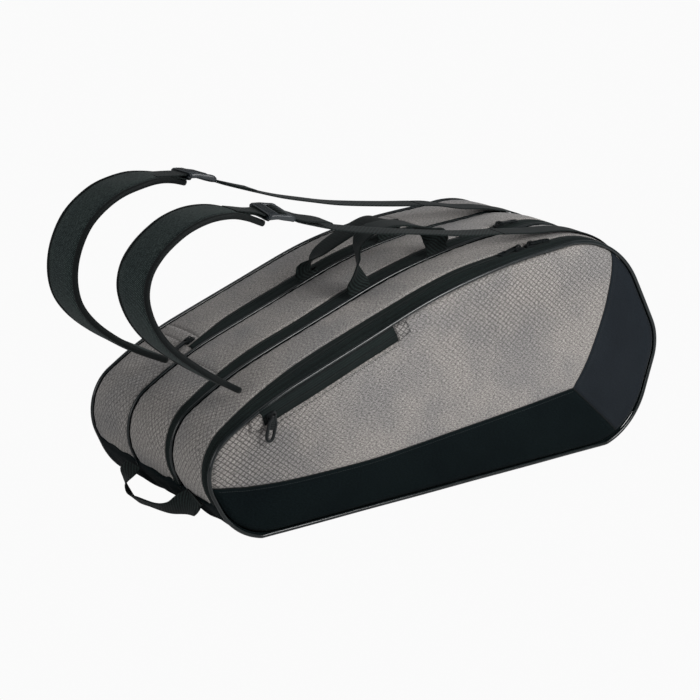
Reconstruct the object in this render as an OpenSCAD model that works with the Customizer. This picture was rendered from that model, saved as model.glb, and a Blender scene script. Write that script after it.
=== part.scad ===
// Racket tournament bag: three zipped compartments side by side, two carry handles,
// two padded shoulder straps with ladder lock buckles and a grab loop at the low end.
// Frame: +X towards the tall end (racket heads), -Y the side with the pocket, +Z up.
// Origin: middle of the underside. Units: mm.

/* [Side outline] */
// where the flat underside ends at the low end
base_left = 332; // [312:2:346]
// where the flat underside ends at the tall end
base_right = 342; // [322:2:352]
// reach of the low end before its corner is rounded
low_end_x = 395; // [385:1:405]
// height of that corner
low_end_z = 121; // [113:1:129]
// reach of the tall end before its corner is rounded
tall_end_x = 395; // [385:1:405]
// height of that corner
tall_end_z = 142; // [134:1:150]
// low shoulder, along the bag
low_shoulder_x = 285; // [275:1:295]
// low shoulder, height
low_shoulder_z = 181; // [175:1:187]
// middle of the top, along the bag
top_mid_x = 40; // [30:1:50]
// middle of the top, height
top_mid_z = 292; // [286:1:298]
// tall shoulder, along the bag
tall_shoulder_x = 298; // [290:1:304]
// tall shoulder, height
tall_shoulder_z = 314; // [308:1:320]

/* [Depth] */
// seam to seam across the whole bag
bag_depth = 290; // [270:2:310]
// divider seam between the front and the middle compartment
front_seam_y = -57; // [-61:1:-53]
// divider seam between the middle and the rear compartment
rear_seam_y = 47; // [43:1:51]
// how much higher the divider seams stand than the near seam, as a share
seam_rise = 0.046; // [0.03:0.002:0.06]
// how that rise fades towards the tall end
seam_fade = 0.043; // [0.03:0.002:0.05]

/* [Shell] */
// padded gusset, thickness
gusset_t = 4; // [3:0.5:5]
// padded side panel, thickness
panel_t = 4; // [3:0.5:5]
// how far a side panel swells outwards in its middle
panel_swell = 11; // [6:1:14]
// how far a gusset swells between its seams
gusset_swell = 4.5; // [2:0.5:6]
// piping, radius
piping_r = 2.6; // [2:0.1:3]
// loose fit between sewn pieces
seam_gap = 0.4; // [0.3:0.1:0.5]
// divider sheet, thickness
divider_t = 3; // [2:0.5:4]
// stiff board inside the base, thickness
board_t = 2.5; // [2:0.5:4]

/* [Zips] */
// zip of the front compartment, tape width
zip_front_w = 33; // [30:1:35]
// zips of the middle and rear compartments, tape width
zip_inner_w = 27; // [25:1:29]
// zip tape, thickness
tape_t = 1.4; // [1:0.2:2]
// pocket zip, tape width
pocket_zip_w = 15; // [13:1:17]
// slider body, length
slider_l = 14; // [12:1:16]
// slider body, width
slider_w = 10; // [9:1:12]
// pull, length
pull_l = 34; // [28:1:38]
// pull, width
pull_w = 9; // [7:1:10]

/* [Handles] */
// webbing of handles and grab loop, width
handle_w = 36; // [32:1:38]
// webbing of handles, doubled, thickness
handle_t = 2.6; // [2:0.2:3]

/* [Shoulder straps] */
// padded part, width
pad_w = 66; // [58:1:70]
// padded part, thickness
pad_t = 9; // [7:0.5:11]
// strap webbing, width
strap_w = 34; // [30:1:36]
// strap webbing, thickness
strap_t = 1.8; // [1.4:0.2:2.4]
// radius of the binding cord on the pad's edge
binding_r = 2.2; // [1.8:0.1:2.6]
// ladder lock, bar thickness
lock_bar = 4; // [3.5:0.5:5]

/* [Hidden] */
$fn = 32;
half_depth = bag_depth / 2;

// side outline: corner points, corner radii and steps, clockwise from the low end's foot
corners = [[-base_left, 0], [-low_end_x, low_end_z], [-low_shoulder_x, low_shoulder_z],
    [top_mid_x, top_mid_z], [tall_shoulder_x, tall_shoulder_z], [tall_end_x, tall_end_z],
    [base_right, 0]];
corner_r = [100, 58, 600, 930, 142, 145, 100];
corner_n = [6, 7, 5, 5, 8, 5, 7];
first = [for (c = [0:7]) sum([for (k = [0:1:c - 1]) corner_n[k] + 1])];
tray_left = corner_n[0];
tray_right = first[6];
mid_flap_from = first[2] + 2;
rear_zip_from = first[2] + 3;
rear_flap_from = first[2] + 4;
flap_to = first[3] + 4;

function sum(v, i = 0) = i >= len(v) ? 0 : v[i] + sum(v, i + 1);
function unit(v) = v / norm(v);
function mix(a, b, t) = a + (b - a) * t;
function angle_of(v) = atan2(v.y, v.x);
function turn(a) = a > 180 ? a - 360 : a < -180 ? a + 360 : a;

// one filleted corner as an arc of n steps
function fillet(a, p, b, r, n) =
    let (u = unit(a - p), w = unit(b - p), half = acos(u * w) / 2, t = r / tan(half),
        c = p + unit(u + w) * norm([t, r]), a0 = angle_of(p + u * t - c),
        sweep = turn(angle_of(p + w * t - c) - a0))
    [for (k = [0:n]) c + r * [cos(a0 + sweep * k / n), sin(a0 + sweep * k / n)]];

outline = [for (c = [0:6])
    for (q = fillet(corners[(c + 6) % 7], corners[c], corners[(c + 1) % 7], corner_r[c], corner_n[c])) q];
count = len(outline);
function corner(k) = outline[(k + count) % count];
function square_on(k) = let (t = unit(corner(k + 1) - corner(k - 1))) [-t.y, t.x];
// point and outward normal at a station, which may lie between two corners
function at(i) = let (k = floor(i)) mix(corner(k), corner(k + 1), i - k);
function outward(i) = let (k = floor(i)) unit(mix(square_on(k), square_on(k + 1), i - k));
// station d mm further along, and the stations from a to b
function nudge(i, d) = i + d / norm(corner(floor(i) + sign(d)) - corner(floor(i)));
function span(a, b) = concat([a], [for (i = [floor(a) + 1:1:ceil(b) - 1]) i], [b]);

// height factor of the outline at depth y, and swell of the gusset between two seams
function rise(y, x) = let (k = lookup(y, [[-half_depth, 0], [front_seam_y, 1], [half_depth, 1]]))
    1 + k * (seam_rise - seam_fade * x / tall_end_x);
seams = [-half_depth, front_seam_y, rear_seam_y, half_depth];
function swell_in(y, a, b) = gusset_swell * (1 - pow((2 * y - a - b) / (b - a), 2));
function swell(y, z) = min(1, z / low_end_z) * max(0, y < seams[1] ? swell_in(y, seams[0], seams[1])
    : y < seams[2] ? swell_in(y, seams[1], seams[2]) : swell_in(y, seams[2], seams[3]));
// point of the bag's skin at outline station i and depth y, lifted by out
function skin(i, y, out = 0) = let (p = at(i), n = outward(i), s = out + swell(y, p.y))
    [p.x + n.x * s, y, p.y * rise(y, p.x) + n.y * s];
// the same point, kept above the floor where the outline runs flat
function clear_of_floor(p, z) = [p.x, p.y, max(p.z, z)];

// solid through a row of rings; every ring has an even number of points
module sweep(rings, loop = false) {
    n = len(rings);
    m = len(rings[0]);
    wrap = loop ? n : n - 1;
    sides = [for (k = [0:wrap - 1]) for (j = [0:m - 1])
        let (a = k * m + j, b = k * m + (j + 1) % m, c = (k + 1) % n * m + (j + 1) % m,
            d = (k + 1) % n * m + j) each [[a, b, c], [a, c, d]]];
    caps = loop ? [] : [for (j = [0:m / 2 - 2])
        let (a = j, b = j + 1, c = m - 2 - j, d = m - 1 - j, e = (n - 1) * m)
        each [if (b != c) [b, a, d], if (b != c) [b, d, c], if (b != c) [e + a, e + b, e + c],
            if (b != c) [e + a, e + c, e + d]]];
    polyhedron([for (r = rings) each r], concat(sides, caps), convexity = 6);
}

// sheet that follows the skin from station a to b, between depths ya and yb
module skin_sheet(a, b, ya, yb, t, n = 4, out = 0)
    sweep([for (i = span(a, b)) concat([for (j = [0:n]) skin(i, mix(ya, yb, j / n), out)],
        [for (j = [n:-1:0]) skin(i, mix(ya, yb, j / n), out - t)])]);

// cord of radius r along the skin at depth y
module skin_cord(a, b, y, r, loop = false)
    sweep([for (i = span(a, b)) let (n = outward(i), c = clear_of_floor(skin(i, y, 0.4), r + 0.1))
        [for (k = [0:5]) c + r * (cos(150 - 60 * k) * [0, 1, 0] + sin(150 - 60 * k) * [n.x, 0, n.y])]], loop);

// half of a zip: tape with its row of teeth along the edge towards teeth_y
module half_zip(a, b, tape_y, teeth_y) {
    low = min(tape_y, teeth_y);
    high = max(tape_y, teeth_y);
    ys = teeth_y > tape_y ? [low, high - 3, high - 2.4, high - 0.6] : [low + 0.6, low + 2.4, low + 3, high];
    tops = teeth_y > tape_y ? [0, 0, 0.7, 0.7] : [0.7, 0.7, 0, 0];
    sweep([for (i = span(a, b)) concat([for (j = [0:3]) skin(i, ys[j], tops[j] - 0.4)],
        [skin(i, ys[3], -0.4 - tape_t), skin(i, mix(ys[0], ys[3], 0.6), -0.4 - tape_t),
        skin(i, mix(ys[0], ys[3], 0.3), -0.4 - tape_t), skin(i, ys[0], -0.4 - tape_t)])]);
}

// ---- shell ----
low_foot = nudge(tray_left, seam_gap);
tall_foot = nudge(tray_right, -seam_gap);
edge_y = half_depth - piping_r - seam_gap;
seam_edge = piping_r + seam_gap + 0.4;
zip_front_y = -edge_y + zip_front_w / 2;
zip_front_end = -edge_y + zip_front_w;
zip_mid_start = front_seam_y + seam_edge;
zip_mid_y = zip_mid_start + zip_inner_w / 2;
zip_mid_end = zip_mid_start + zip_inner_w;
zip_rear_start = rear_seam_y + seam_edge;
zip_rear_y = zip_rear_start + zip_inner_w / 2 + 1.4;
zip_rear_end = zip_rear_start + zip_inner_w;
flap_gap = 0.8;
board_top = gusset_t + 0.1 + board_t;
board_end = 66;
mid_from = nudge(mid_flap_from, flap_gap);
rear_from = nudge(rear_flap_from, flap_gap);
flap_end = nudge(flap_to, -flap_gap);

module base_tray() {
    color("#15191b") skin_sheet(tray_right, count + tray_left, -edge_y, edge_y, gusset_t, 6);
}

module base_board() {
    color("#3a3c3e") translate([-base_left + board_end, -half_depth + 12, gusset_t + 0.1])
        cube([base_left + base_right - 2 * board_end - 6, bag_depth - 24, board_t]);
}

module front_gusset() {
    color("#8d8984") skin_sheet(low_foot, tall_foot, zip_front_end + seam_gap,
        front_seam_y - seam_edge, gusset_t);
}

module mid_gusset(a, b) {
    color("#8d8984") skin_sheet(a, b, zip_mid_end + seam_gap, rear_seam_y - seam_edge, gusset_t);
}

module rear_gusset(a, b, from) {
    color("#8d8984") skin_sheet(a, b, from, edge_y, gusset_t);
}

module divider(y) {
    under = gusset_t + 0.2;
    color("#4a4d50") translate([0, y + divider_t / 2, 0]) rotate([90, 0, 0]) linear_extrude(divider_t)
        polygon([for (i = [0:count - 1]) let (p = clear_of_floor(skin(i, y, -under), board_top + 0.3)) [p.x, p.z]]);
}

// swollen side panel; side is -1 for the near one and 1 for the far one
panel_rings = [1, 0.88, 0.68, 0.4];
function panel_ring(side, f, lift) = let (y = side * (edge_y + seam_gap), c = [0, low_end_z])
    [for (i = [0:count - 1]) let (p = skin(i, side * half_depth, -piping_r - 2 * seam_gap),
        up = (piping_r + 0.1) * (1 - p.z / top_mid_z), q = mix(c, [p.x, p.z + up], f)) [q.x, y + side * (lift + panel_swell * pow(1 - f * f, 1)), q.y]];
module swollen_sheet(side, lift, t) {
    inner = [for (k = [3:-1:0]) panel_ring(side, panel_rings[k], lift)];
    outer = [for (k = [0:3]) panel_ring(side, panel_rings[k], lift + t)];
    rings = concat(inner, outer);
    sweep(side < 0 ? rings : [for (k = [7:-1:0]) rings[k]]);
}

module side_panel(side) swollen_sheet(side, 0, panel_t);

// regions of the near panel, drawn on the side outline
region_gap = 0.3;
meet = [223, 100];
lower_edge = [[-420, 92], [-313, 75], [-245, 72], [-132, 74], [-46, 79], [15, 84], [148, 95], meet];
end_edge = [meet, [245, 131], [260, 165], [279, 206], [288, 238], [292, 262], [290, 340]];
module region_column(points)
    translate([0, -half_depth + 20, 0]) rotate([90, 0, 0]) linear_extrude(60)
        offset(delta = -region_gap / 2) polygon(points);

module near_panel() {
    color("#8d8984") intersection() {
        side_panel(-1);
        region_column(concat(lower_edge, end_edge, [[-420, 340]]));
    }
}

module near_lower_panel() {
    color("#15191b") intersection() {
        side_panel(-1);
        region_column(concat(lower_edge, [[335, -4], [335, -20], [-420, -20]]));
    }
}

module near_end_panel() {
    color("#20262e") intersection() {
        side_panel(-1);
        region_column(concat([[335, -4]], end_edge, [[420, 340], [420, -20], [335, -20]]));
    }
}

module far_panel() {
    color("#15191b") side_panel(1);
}

module near_piping() {
    color("#0d1012") skin_cord(0, count - 1, -half_depth, piping_r, true);
}

module far_piping() {
    color("#0d1012") skin_cord(0, count - 1, half_depth, piping_r, true);
}

// ---- sliders and pulls ----
// frame of a point on the skin above the straight line between two stations
function track(x, y, k) = x < at(k + 1).x || k > count - 2 ? let (a = skin(k, y), b = skin(k + 1, y))
    [mix(a, b, (x - a.x) / (b.x - a.x)), atan2(b.z - a.z, b.x - a.x)] : track(x, y, k + 1);
module on_track(x, y, lift = 1.3) {
    t = track(x, y, first[1]);
    translate(t[0]) rotate([0, -t[1], 0]) translate([0, 0, lift]) children();
}

slider_t = 2.2;
bar_z = slider_t + 3.8;
bar_t = 1.4;
pin_r = 1.1;
// slider: shield-shaped body with waisted sides, and the raised bridge that the pull hangs on
module slider_body() {
    difference() {
        union() {
            linear_extrude(slider_t) polygon([[-slider_l / 2, -slider_w * 0.32],
                [-slider_l * 0.3, -slider_w * 0.42], [0, -slider_w * 0.4],
                [slider_l * 0.3, -slider_w / 2], [slider_l / 2, -slider_w * 0.4],
                [slider_l / 2, slider_w * 0.4], [slider_l * 0.3, slider_w / 2],
                [0, slider_w * 0.4], [-slider_l * 0.3, slider_w * 0.42],
                [-slider_l / 2, slider_w * 0.32]]);
            translate([0, 1.1, 0]) rotate([90, 0, 0]) linear_extrude(2.2)
                polygon([[-slider_l * 0.36, slider_t - 0.2], [-slider_l * 0.28, bar_z],
                    [-slider_l * 0.14, bar_z + bar_t], [slider_l * 0.18, bar_z + bar_t],
                    [slider_l * 0.32, bar_z], [slider_l * 0.38, slider_t - 0.2]]);
        }
        translate([-slider_l * 0.2, 2, slider_t]) rotate([90, 0, 0]) linear_extrude(4)
            square([slider_l * 0.4, bar_z - slider_t]);
    }
}

grip_start = 6.8;
// grip: moulded tongue with a rounded end and an oblong window
module grip(from, to, w, t) {
    difference() {
        union() {
            translate([from, -w * 0.36, -t]) cube([to - w / 2 - from, w * 0.72, 2 * t]);
            translate([to - w / 2, 0, -t]) cylinder(r = w / 2, h = 2 * t);
            translate([mix(from, to, 0.5), -w / 2, -t]) cube([(to - from) * 0.5 - w / 2, w, 2 * t]);
        }
        translate([to - w * 0.55, 0, -t - 1]) cylinder(r = w * 0.25, h = 2 * t + 2);
        translate([mix(from, to, 0.56), -w * 0.25, -t - 1])
            cube([to - w * 0.55 - mix(from, to, 0.56), w * 0.5, 2 * t + 2]);
    }
}

pin_z = slider_t + 2.2;
pull_droop = 5.5;
// pull on a cross pin through the bridge, its tip resting on the tape
module pull_body() {
    translate([0, 0, pin_z]) rotate([0, pull_droop, 0]) {
        translate([0, 4, 0]) rotate([90, 0, 0]) cylinder(r = pin_r, h = 8);
        for (s = [-1, 1]) translate([0, s * 3.2 - 0.8, -pin_r]) cube([grip_start + 1, 1.6, 2 * pin_r]);
        grip(grip_start, pull_l, pull_w, pin_r);
    }
}

// pull on a ring round the bridge's bar, hanging sideways from the track
ring_r = 3.3;
wire_r = 0.7;
module ring_pull() {
    translate([0, 0, bar_z + bar_t / 2]) rotate([0, 0, -90 - pocket_dir]) translate([1, 0, 0]) {
        rotate([90, 0, 0]) rotate_extrude($fn = 40) translate([ring_r, 0]) circle(wire_r, $fn = 16);
        grip(ring_r - 0.2, pull_l, pull_w, pin_r);
    }
}

front_a_x = 140;
front_b_x = 160;
mid_slider_x = 176;
rear_slider_x = -265;

module zip_front_slider_a() {
    color("#1a2122") on_track(front_a_x, zip_front_y) mirror([1, 0, 0]) slider_body();
}

module zip_front_pull_a() {
    color("#101415") on_track(front_a_x, zip_front_y) rotate([0, 0, 180]) pull_body();
}

module zip_front_slider_b() {
    color("#1a2122") on_track(front_b_x, zip_front_y) slider_body();
}

module zip_front_pull_b() {
    color("#101415") on_track(front_b_x, zip_front_y) pull_body();
}

module zip_mid_slider() {
    color("#1a2122") on_track(mid_slider_x, zip_mid_y) mirror([1, 0, 0]) slider_body();
}

module zip_mid_pull() {
    color("#101415") on_track(mid_slider_x, zip_mid_y) pull_body();
}

module zip_rear_slider() {
    color("#1a2122") on_track(rear_slider_x, zip_rear_y) mirror([1, 0, 0]) slider_body();
}

module zip_rear_pull() {
    color("#101415") on_track(rear_slider_x, zip_rear_y) rotate([0, 0, 180]) pull_body();
}

// ---- pocket zip on the near panel ----
pocket_from = [-296, 162];
pocket_to = [-84, 235];
pocket_dir = atan2(pocket_to.y - pocket_from.y, pocket_to.x - pocket_from.x);
pocket_len = norm(pocket_to - pocket_from);
patch_t = 0.8;
tape_lift = panel_t + 0.3;

// strip of the near panel's surface, cut to a rectangle along the pocket
module pocket_strip(w, lift, t) {
    intersection() {
        swollen_sheet(-1, lift, t);
        region_column([for (q = [[0, -w / 2], [pocket_len, -w / 2], [pocket_len, w / 2], [0, w / 2]])
            pocket_from + [cos(pocket_dir) * q.x - sin(pocket_dir) * q.y,
                sin(pocket_dir) * q.x + cos(pocket_dir) * q.y]]);
    }
}

module pocket_zip_tape() {
    color("#1a2122") {
        pocket_strip(pocket_zip_w, tape_lift, tape_t);
        pocket_strip(4, tape_lift + tape_t - 0.2, 0.8);
    }
}

module pocket_corner_patches() {
    color("#8d8984") intersection() {
        swollen_sheet(-1, tape_lift, patch_t);
        union() {
            region_column([[-307, 169], [-338, 158], [-304, 149]]);
            region_column([[-76, 244], [-60, 248], [-60, 231], [-72, 228]]);
        }
    }
}

slider_rest = 12;
module at_pocket_slider() {
    p = pocket_from + slider_rest * [cos(pocket_dir), sin(pocket_dir)];
    y = -edge_y - seam_gap - tape_lift - tape_t - panel_swell * 0.18 - 1.1;
    translate([p.x, y, p.y]) rotate([90, 0, 0]) rotate([0, 0, pocket_dir]) children();
}

module pocket_slider() {
    color("#1a2122") at_pocket_slider() mirror([1, 0, 0]) slider_body();
}

module pocket_pull() {
    color("#101415") at_pocket_slider() ring_pull();
}

// ---- webbing and straps ----
// smooth curve through the rows of p, m steps a span; a row may hold further values
function curve(p, m) = let (n = len(p)) concat([for (k = [0:n - 2]) for (s = [0:m - 1])
    let (a = p[max(0, k - 1)], b = p[k], c = p[k + 1], d = p[min(n - 1, k + 2)], t = s / m)
    0.5 * (2 * b + t * (c - a) + t * t * (2 * a - 5 * b + 4 * c - d)
        + t * t * t * (3 * b - a - 3 * c + d))], [p[n - 1]]);
function spot(r) = [r[0], r[1], r[2]];
function along(p, k) = unit(spot(p[min(len(p) - 1, k + 1)]) - spot(p[max(0, k - 1)]));
function across(p, k) = let (t = along(p, k), w = [p[k][4], p[k][5], p[k][6]]) unit(w - t * (t * w));

// webbing along rows [x, y, z, half width, direction of the width]
module webbing(p, t)
    sweep([for (k = [0:len(p) - 1]) let (c = spot(p[k]), w = across(p, k) * p[k][3],
        u = cross(along(p, k), across(p, k)) * t / 2) [c - w + u, c + w + u, c + w - u, c - w - u]]);

// foam pad along the same rows, with softened edges
module padding(p, t)
    sweep([for (k = [0:len(p) - 1]) let (w = across(p, k), h = p[k][3] - binding_r - 0.3,
        end = k == 0 ? 1 : k == len(p) - 1 ? -1 : 0, c = spot(p[k]) + along(p, k) * end * (binding_r + 0.4),
        u = cross(along(p, k), w) * t, e = min(6, h / 2))
        [c - w * h + u / 4, c - w * (h - e) + u / 2, c + w * (h - e) + u / 2, c + w * h + u / 4,
        c + w * h - u / 4, c + w * (h - e) - u / 2, c - w * (h - e) - u / 2, c - w * h - u / 4]]);

// binding cord round the edge of that pad
module pad_edge(p, r) {
    n = len(p);
    edge = concat([for (k = [0:n - 1]) spot(p[k]) + across(p, k) * p[k][3]],
        [for (k = [n - 1:-1:0]) spot(p[k]) - across(p, k) * p[k][3]]);
    m = len(edge);
    sweep([for (k = [0:m - 1]) let (t = unit(edge[(k + 1) % m] - edge[(k + m - 1) % m]),
        j = k < n ? k : 2 * n - 1 - k, v = cross(along(p, j), across(p, j)), w = cross(v, t))
        [for (q = [0:5]) edge[k] + r * (cos(60 * q) * v + sin(60 * q) * w)]], true);
}

// height of the divider piping's middle above a point of the bag
function cord_z(x, y) = track(x, y, first[1])[0].z + 0.4;
function seam_dir(x, y) = let (a = track(x, y, first[1])[1]) [cos(a), 0, sin(a)];
foot_gap = 0.9;
// end of a handle on the seam: three rows in line, so that the webbing leaves the piping squarely
function foot(x, y, side, up) = let (d = seam_dir(x, y), h = piping_r + foot_gap + up)
    [x - d.z * h, y, cord_z(x, y) + d.x * h, handle_w / 2, side * d.x, 0, side * d.z];

near_handle = [foot(-74, front_seam_y, 1, 0), foot(-74, front_seam_y, 1, 4),
    foot(-74, front_seam_y, 1, 11), [-83, -57, 308, handle_w / 2, 0.9, 0.4, 0.3],
    [-76, -54, 333, handle_w / 2, 0.2, 1, 0], [-58, -49, 348, handle_w / 2, 0, 1, 0],
    [-24, -47, 352, handle_w / 2, 0, 1, 0], [14, -48, 346, handle_w / 2, 0, 1, 0],
    [38, -52, 335, handle_w / 2, -0.5, 1, 0], [51, -56, 324, handle_w / 2, -0.9, 0.6, 0],
    foot(55, front_seam_y, -1, 10), foot(55, front_seam_y, -1, 4), foot(55, front_seam_y, -1, 0)];
far_handle = [foot(-84, rear_seam_y, 1, 0), foot(-84, rear_seam_y, 1, 4),
    foot(-84, rear_seam_y, 1, 11), [-80, 47, 289, handle_w / 2, 0.8, 0.6, 0.2],
    [-62, 47, 302, handle_w / 2, 0.2, 1, 0], [-36, 47, 314, handle_w / 2, 0, 1, 0],
    [-8, 47, 324, handle_w / 2, 0, 1, 0], [18, 47, 331, handle_w / 2, 0, 1, 0],
    [38, 47, 329, handle_w / 2, -0.2, 1, 0], [50, 47, 319, handle_w / 2, -0.9, 0.6, 0],
    foot(51, rear_seam_y, -1, 10), foot(51, rear_seam_y, -1, 4), foot(51, rear_seam_y, -1, 0)];

module handle_near() {
    color("#161d1c") webbing(curve(near_handle, 4), handle_t);
}

module handle_far() {
    color("#161d1c") webbing(curve(far_handle, 4), handle_t);
}

grab = [[-366.6, 50, 58, handle_w / 2, 0, 1, 0], [-377, 50, 50, handle_w / 2, 0, 1, 0],
    [-382, 47, 32, handle_w / 2, 0.5, 1, -0.4], [-379, 34, 19, handle_w / 2, 0.65, 0.4, -0.76],
    [-375, 8, 21, handle_w / 2.4, 0.65, 0, -0.76], [-371, -25, 24, handle_w / 2.4, 0.65, 0, -0.76],
    [-369.5, -54, 29, handle_w / 2.2, 0.65, -0.4, -0.7], [-369, -78, 37, handle_w / 2, 0.1, -1, 0],
    [-367.4, -84, 47, handle_w / 2, 0, -1, 0], [-366, -84, 56, handle_w / 2, 0, -1, 0]];
module grab_loop() {
    color("#161d1c") webbing(curve(grab, 4), handle_t);
}

// strap pads: rows [x, y, z, half width] from the sewn tip round to the lock
near_pad = [[-305, -104, 192, 8], [-331, -104, 208, 19], [-362, -104, 228, 33], [-400, -104, 257, 33],
    [-424, -104, 280, 33], [-441, -104, 304, 33], [-451, -104, 328, 33], [-454, -104, 351, 33],
    [-448, -104, 374, 33], [-434, -104, 393, 33], [-414, -104, 409, 33], [-389, -104, 422, 33],
    [-358, -104, 429, 32], [-325, -104, 427, 28], [-295, -104, 416, 20], [-268, -104, 401, 9]];
far_pad = [[-313, 56, 192, 8], [-340, 55, 206, 19], [-372, 54, 224, 33], [-404, 54, 246, 33],
    [-432, 53, 272, 33], [-450, 53, 297, 33], [-457, 52, 324, 33], [-455, 52, 352, 33],
    [-446, 51, 380, 33], [-430, 51, 406, 33], [-408, 50, 427, 33], [-382, 50, 440, 33],
    [-350, 49, 445, 32], [-326, 49, 443, 28], [-304, 49, 436, 20], [-282, 49, 426, 9]];
function pad_rows(p) = curve([for (r = p) [r[0], r[1], r[2], r[3] * pad_w / 66, 0, 1, 0]], 2);

// lock frames: [middle, tilt]
near_lock = [[-253, -104, 415], 19];
far_lock = [[-269, 48, 436], 15];
module at_lock(l) translate(l[0]) rotate([0, l[1], 0]) children();
function by_lock(l, u, n) = l[0] + [cos(l[1]) * u + sin(l[1]) * n, 0, cos(l[1]) * n - sin(l[1]) * u];

lock_w = strap_w + 12;
lock_l = 40;
grip_u = 8;
// ladder lock: side rails swept up at the lip, tab bar, middle bar, round grip bar and end bar
module ladder_lock() {
    for (s = [-1, 1]) translate([0, s * (lock_w / 2 - 2) + 2, 0]) rotate([90, 0, 0]) linear_extrude(4)
        difference() {
            union() {
                translate([-lock_l / 2 + 3, -lock_bar / 2]) square([lock_l - 6, lock_bar]);
                for (e = [-1, 1]) translate([e * (lock_l / 2 - 3), 0]) circle(3);
                polygon([[-12, lock_bar / 2 - 0.1], [-8, 3.6], [4, 3.6], [9, lock_bar / 2 - 0.1]]);
            }
            translate([0, -lock_bar / 2 - 2.2]) circle(3);
        }
    for (b = [[-lock_l / 2 + 3, 2], [grip_u, 2], [lock_l / 2 - 2, 1.7]])
        translate([b[0], lock_w / 2 - 1, 0]) rotate([90, 0, 0]) cylinder(r = b[1], h = lock_w - 2);
    translate([-5, -lock_w / 2 + 1, -1.6]) cube([5, lock_w - 2, 3.2]);
    for (k = [-2:2]) translate([grip_u, k * 6 + 0.5, 0]) rotate([90, 0, 0]) cylinder(r = 2.3, h = 1);
}

module near_strap_lock() {
    color("#12181b") at_lock(near_lock) ladder_lock();
}

module far_strap_lock() {
    color("#12181b") at_lock(far_lock) ladder_lock();
}

// tab: webbing folded round the lock's tab bar, both ends sewn to the pad
tab_turn = [[-21, 2.8], [-17, 3.4], [-14.5, 2.4], [-13.5, 0], [-14.5, -2.4], [-17, -3.4]];
near_tab = concat([[-70, -4], [-45, -4], [-30, -0.6]], tab_turn, [[-30, -5.8], [-45, -6.2], [-70, -6.2]]);
far_tab = concat([[-70, -1.2], [-57, 0.3], [-45, 0.9], [-30, 1.8]], tab_turn,
    [[-30, -3.4], [-45, -1.4], [-57, -2], [-70, -3.5]]);
// running webbing near the lock: over the end bar, under the grip bar and back over it
lock_path = [[50, -4], [35, -1], [25, 2.8], [19, 3.2], [15.6, 2.5], [13.5, 0], [11.6, -2.6], [8, -3.6],
    [5, -2.7], [4.2, 0], [5, 2.7], [8, 3.7], [12, 4.4], [16, 5.6], [20, 5.9], [27, 5], [35, 2.4], [50, -1.2]];
function lock_rows(l, path) = [for (q = path) let (c = by_lock(l, q[0], q[1]))
    [c.x, c.y, c.z, strap_w / 2, 0, 1, 0]];
function strap_rows(y, path) = [for (q = path) [q[0], y, q[1], strap_w / 2, 0, 1, 0]];

near_y = -104;
far_y = 47;
near_run = strap_rows(near_y, [[118, 331], [54, 339], [-32, 355], [-96, 367], [-144, 379], [-172, 389]]);
far_run = strap_rows(far_y, [[98, 344], [36, 354], [-40, 368], [-90, 381], [-135, 393], [-180, 408]]);

module near_strap_webbing() {
    color("#1b2322") webbing(curve(concat(near_run, lock_rows(near_lock, lock_path),
        lock_rows(near_lock, [[74, 2.2], [84, 3.8]])), 2), strap_t);
}

module far_strap_webbing() {
    color("#1b2322") webbing(curve(concat(far_run, lock_rows(far_lock, lock_path),
        lock_rows(far_lock, [[74, -0.9], [94, -0.6]])), 2), strap_t);
}

module near_strap_tab() {
    color("#1b2322") webbing(curve(lock_rows(near_lock, near_tab), 2), strap_t);
}

module far_strap_tab() {
    color("#1b2322") webbing(curve(lock_rows(far_lock, far_tab), 2), strap_t);
}

module near_strap_pad() {
    color("#23282a") padding(pad_rows(near_pad), pad_t);
}

module far_strap_pad() {
    color("#23282a") padding(pad_rows(far_pad), pad_t);
}

module near_strap_binding() {
    color("#101415") pad_edge(pad_rows(near_pad), binding_r);
}

module far_strap_binding() {
    color("#101415") pad_edge(pad_rows(far_pad), binding_r);
}

// sewn end of a strap: leaves the run and lies down on the bag's tall end
module strap_end(y, from, lifts)
    webbing(curve(concat(strap_rows(y, from), [for (k = [0:len(lifts) - 1])
        let (c = skin(first[4] + k, y, lifts[k])) [c.x, y, c.z, strap_w / 2, 0, 1, 0]]), 2), strap_t);

module near_strap_end() {
    color("#1b2322") strap_end(near_y, [[120.5, 330.6], [140, 328], [172, 323.5]], [6, 3.4, 2, 1.5, 1.4]);
}

module far_strap_end() {
    color("#1b2322") strap_end(far_y, [[100.5, 343.6], [126, 340], [168, 331]], [12, 7, 4.8, 4.5, 4.5]);
}

// ---- zip halves ----
module zip_front_tape_near() {
    color("#1c2524") half_zip(low_foot, tall_foot, -edge_y, zip_front_y);
}

module zip_front_tape_far() {
    color("#1c2524") half_zip(low_foot, tall_foot, zip_front_end, zip_front_y);
}

module zip_mid_tape_near() {
    color("#1c2524") half_zip(low_foot, tall_foot, zip_mid_start, zip_mid_y);
}

module zip_mid_tape_far() {
    color("#1c2524") half_zip(mid_from, flap_end, zip_mid_end, zip_mid_y);
}

module zip_mid_tape_ends() {
    color("#1c2524") {
        half_zip(low_foot, mid_flap_from, zip_mid_end, zip_mid_y);
        half_zip(flap_to, tall_foot, zip_mid_end, zip_mid_y);
    }
}

module zip_rear_tape_near() {
    color("#1c2524") half_zip(nudge(rear_zip_from, seam_gap), flap_end, zip_rear_start, zip_rear_y);
}

module zip_rear_tape_far() {
    color("#1c2524") half_zip(rear_from, flap_end, zip_rear_end, zip_rear_y);
}

module zip_rear_tape_end() {
    color("#1c2524") half_zip(nudge(rear_zip_from, seam_gap), rear_flap_from, zip_rear_end, zip_rear_y);
}

module mid_gusset_top() {
    mid_gusset(mid_from, flap_end);
}

module mid_gusset_low_end() {
    mid_gusset(low_foot, mid_flap_from);
}

module mid_gusset_tall_end() {
    mid_gusset(flap_to, tall_foot);
}

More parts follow.
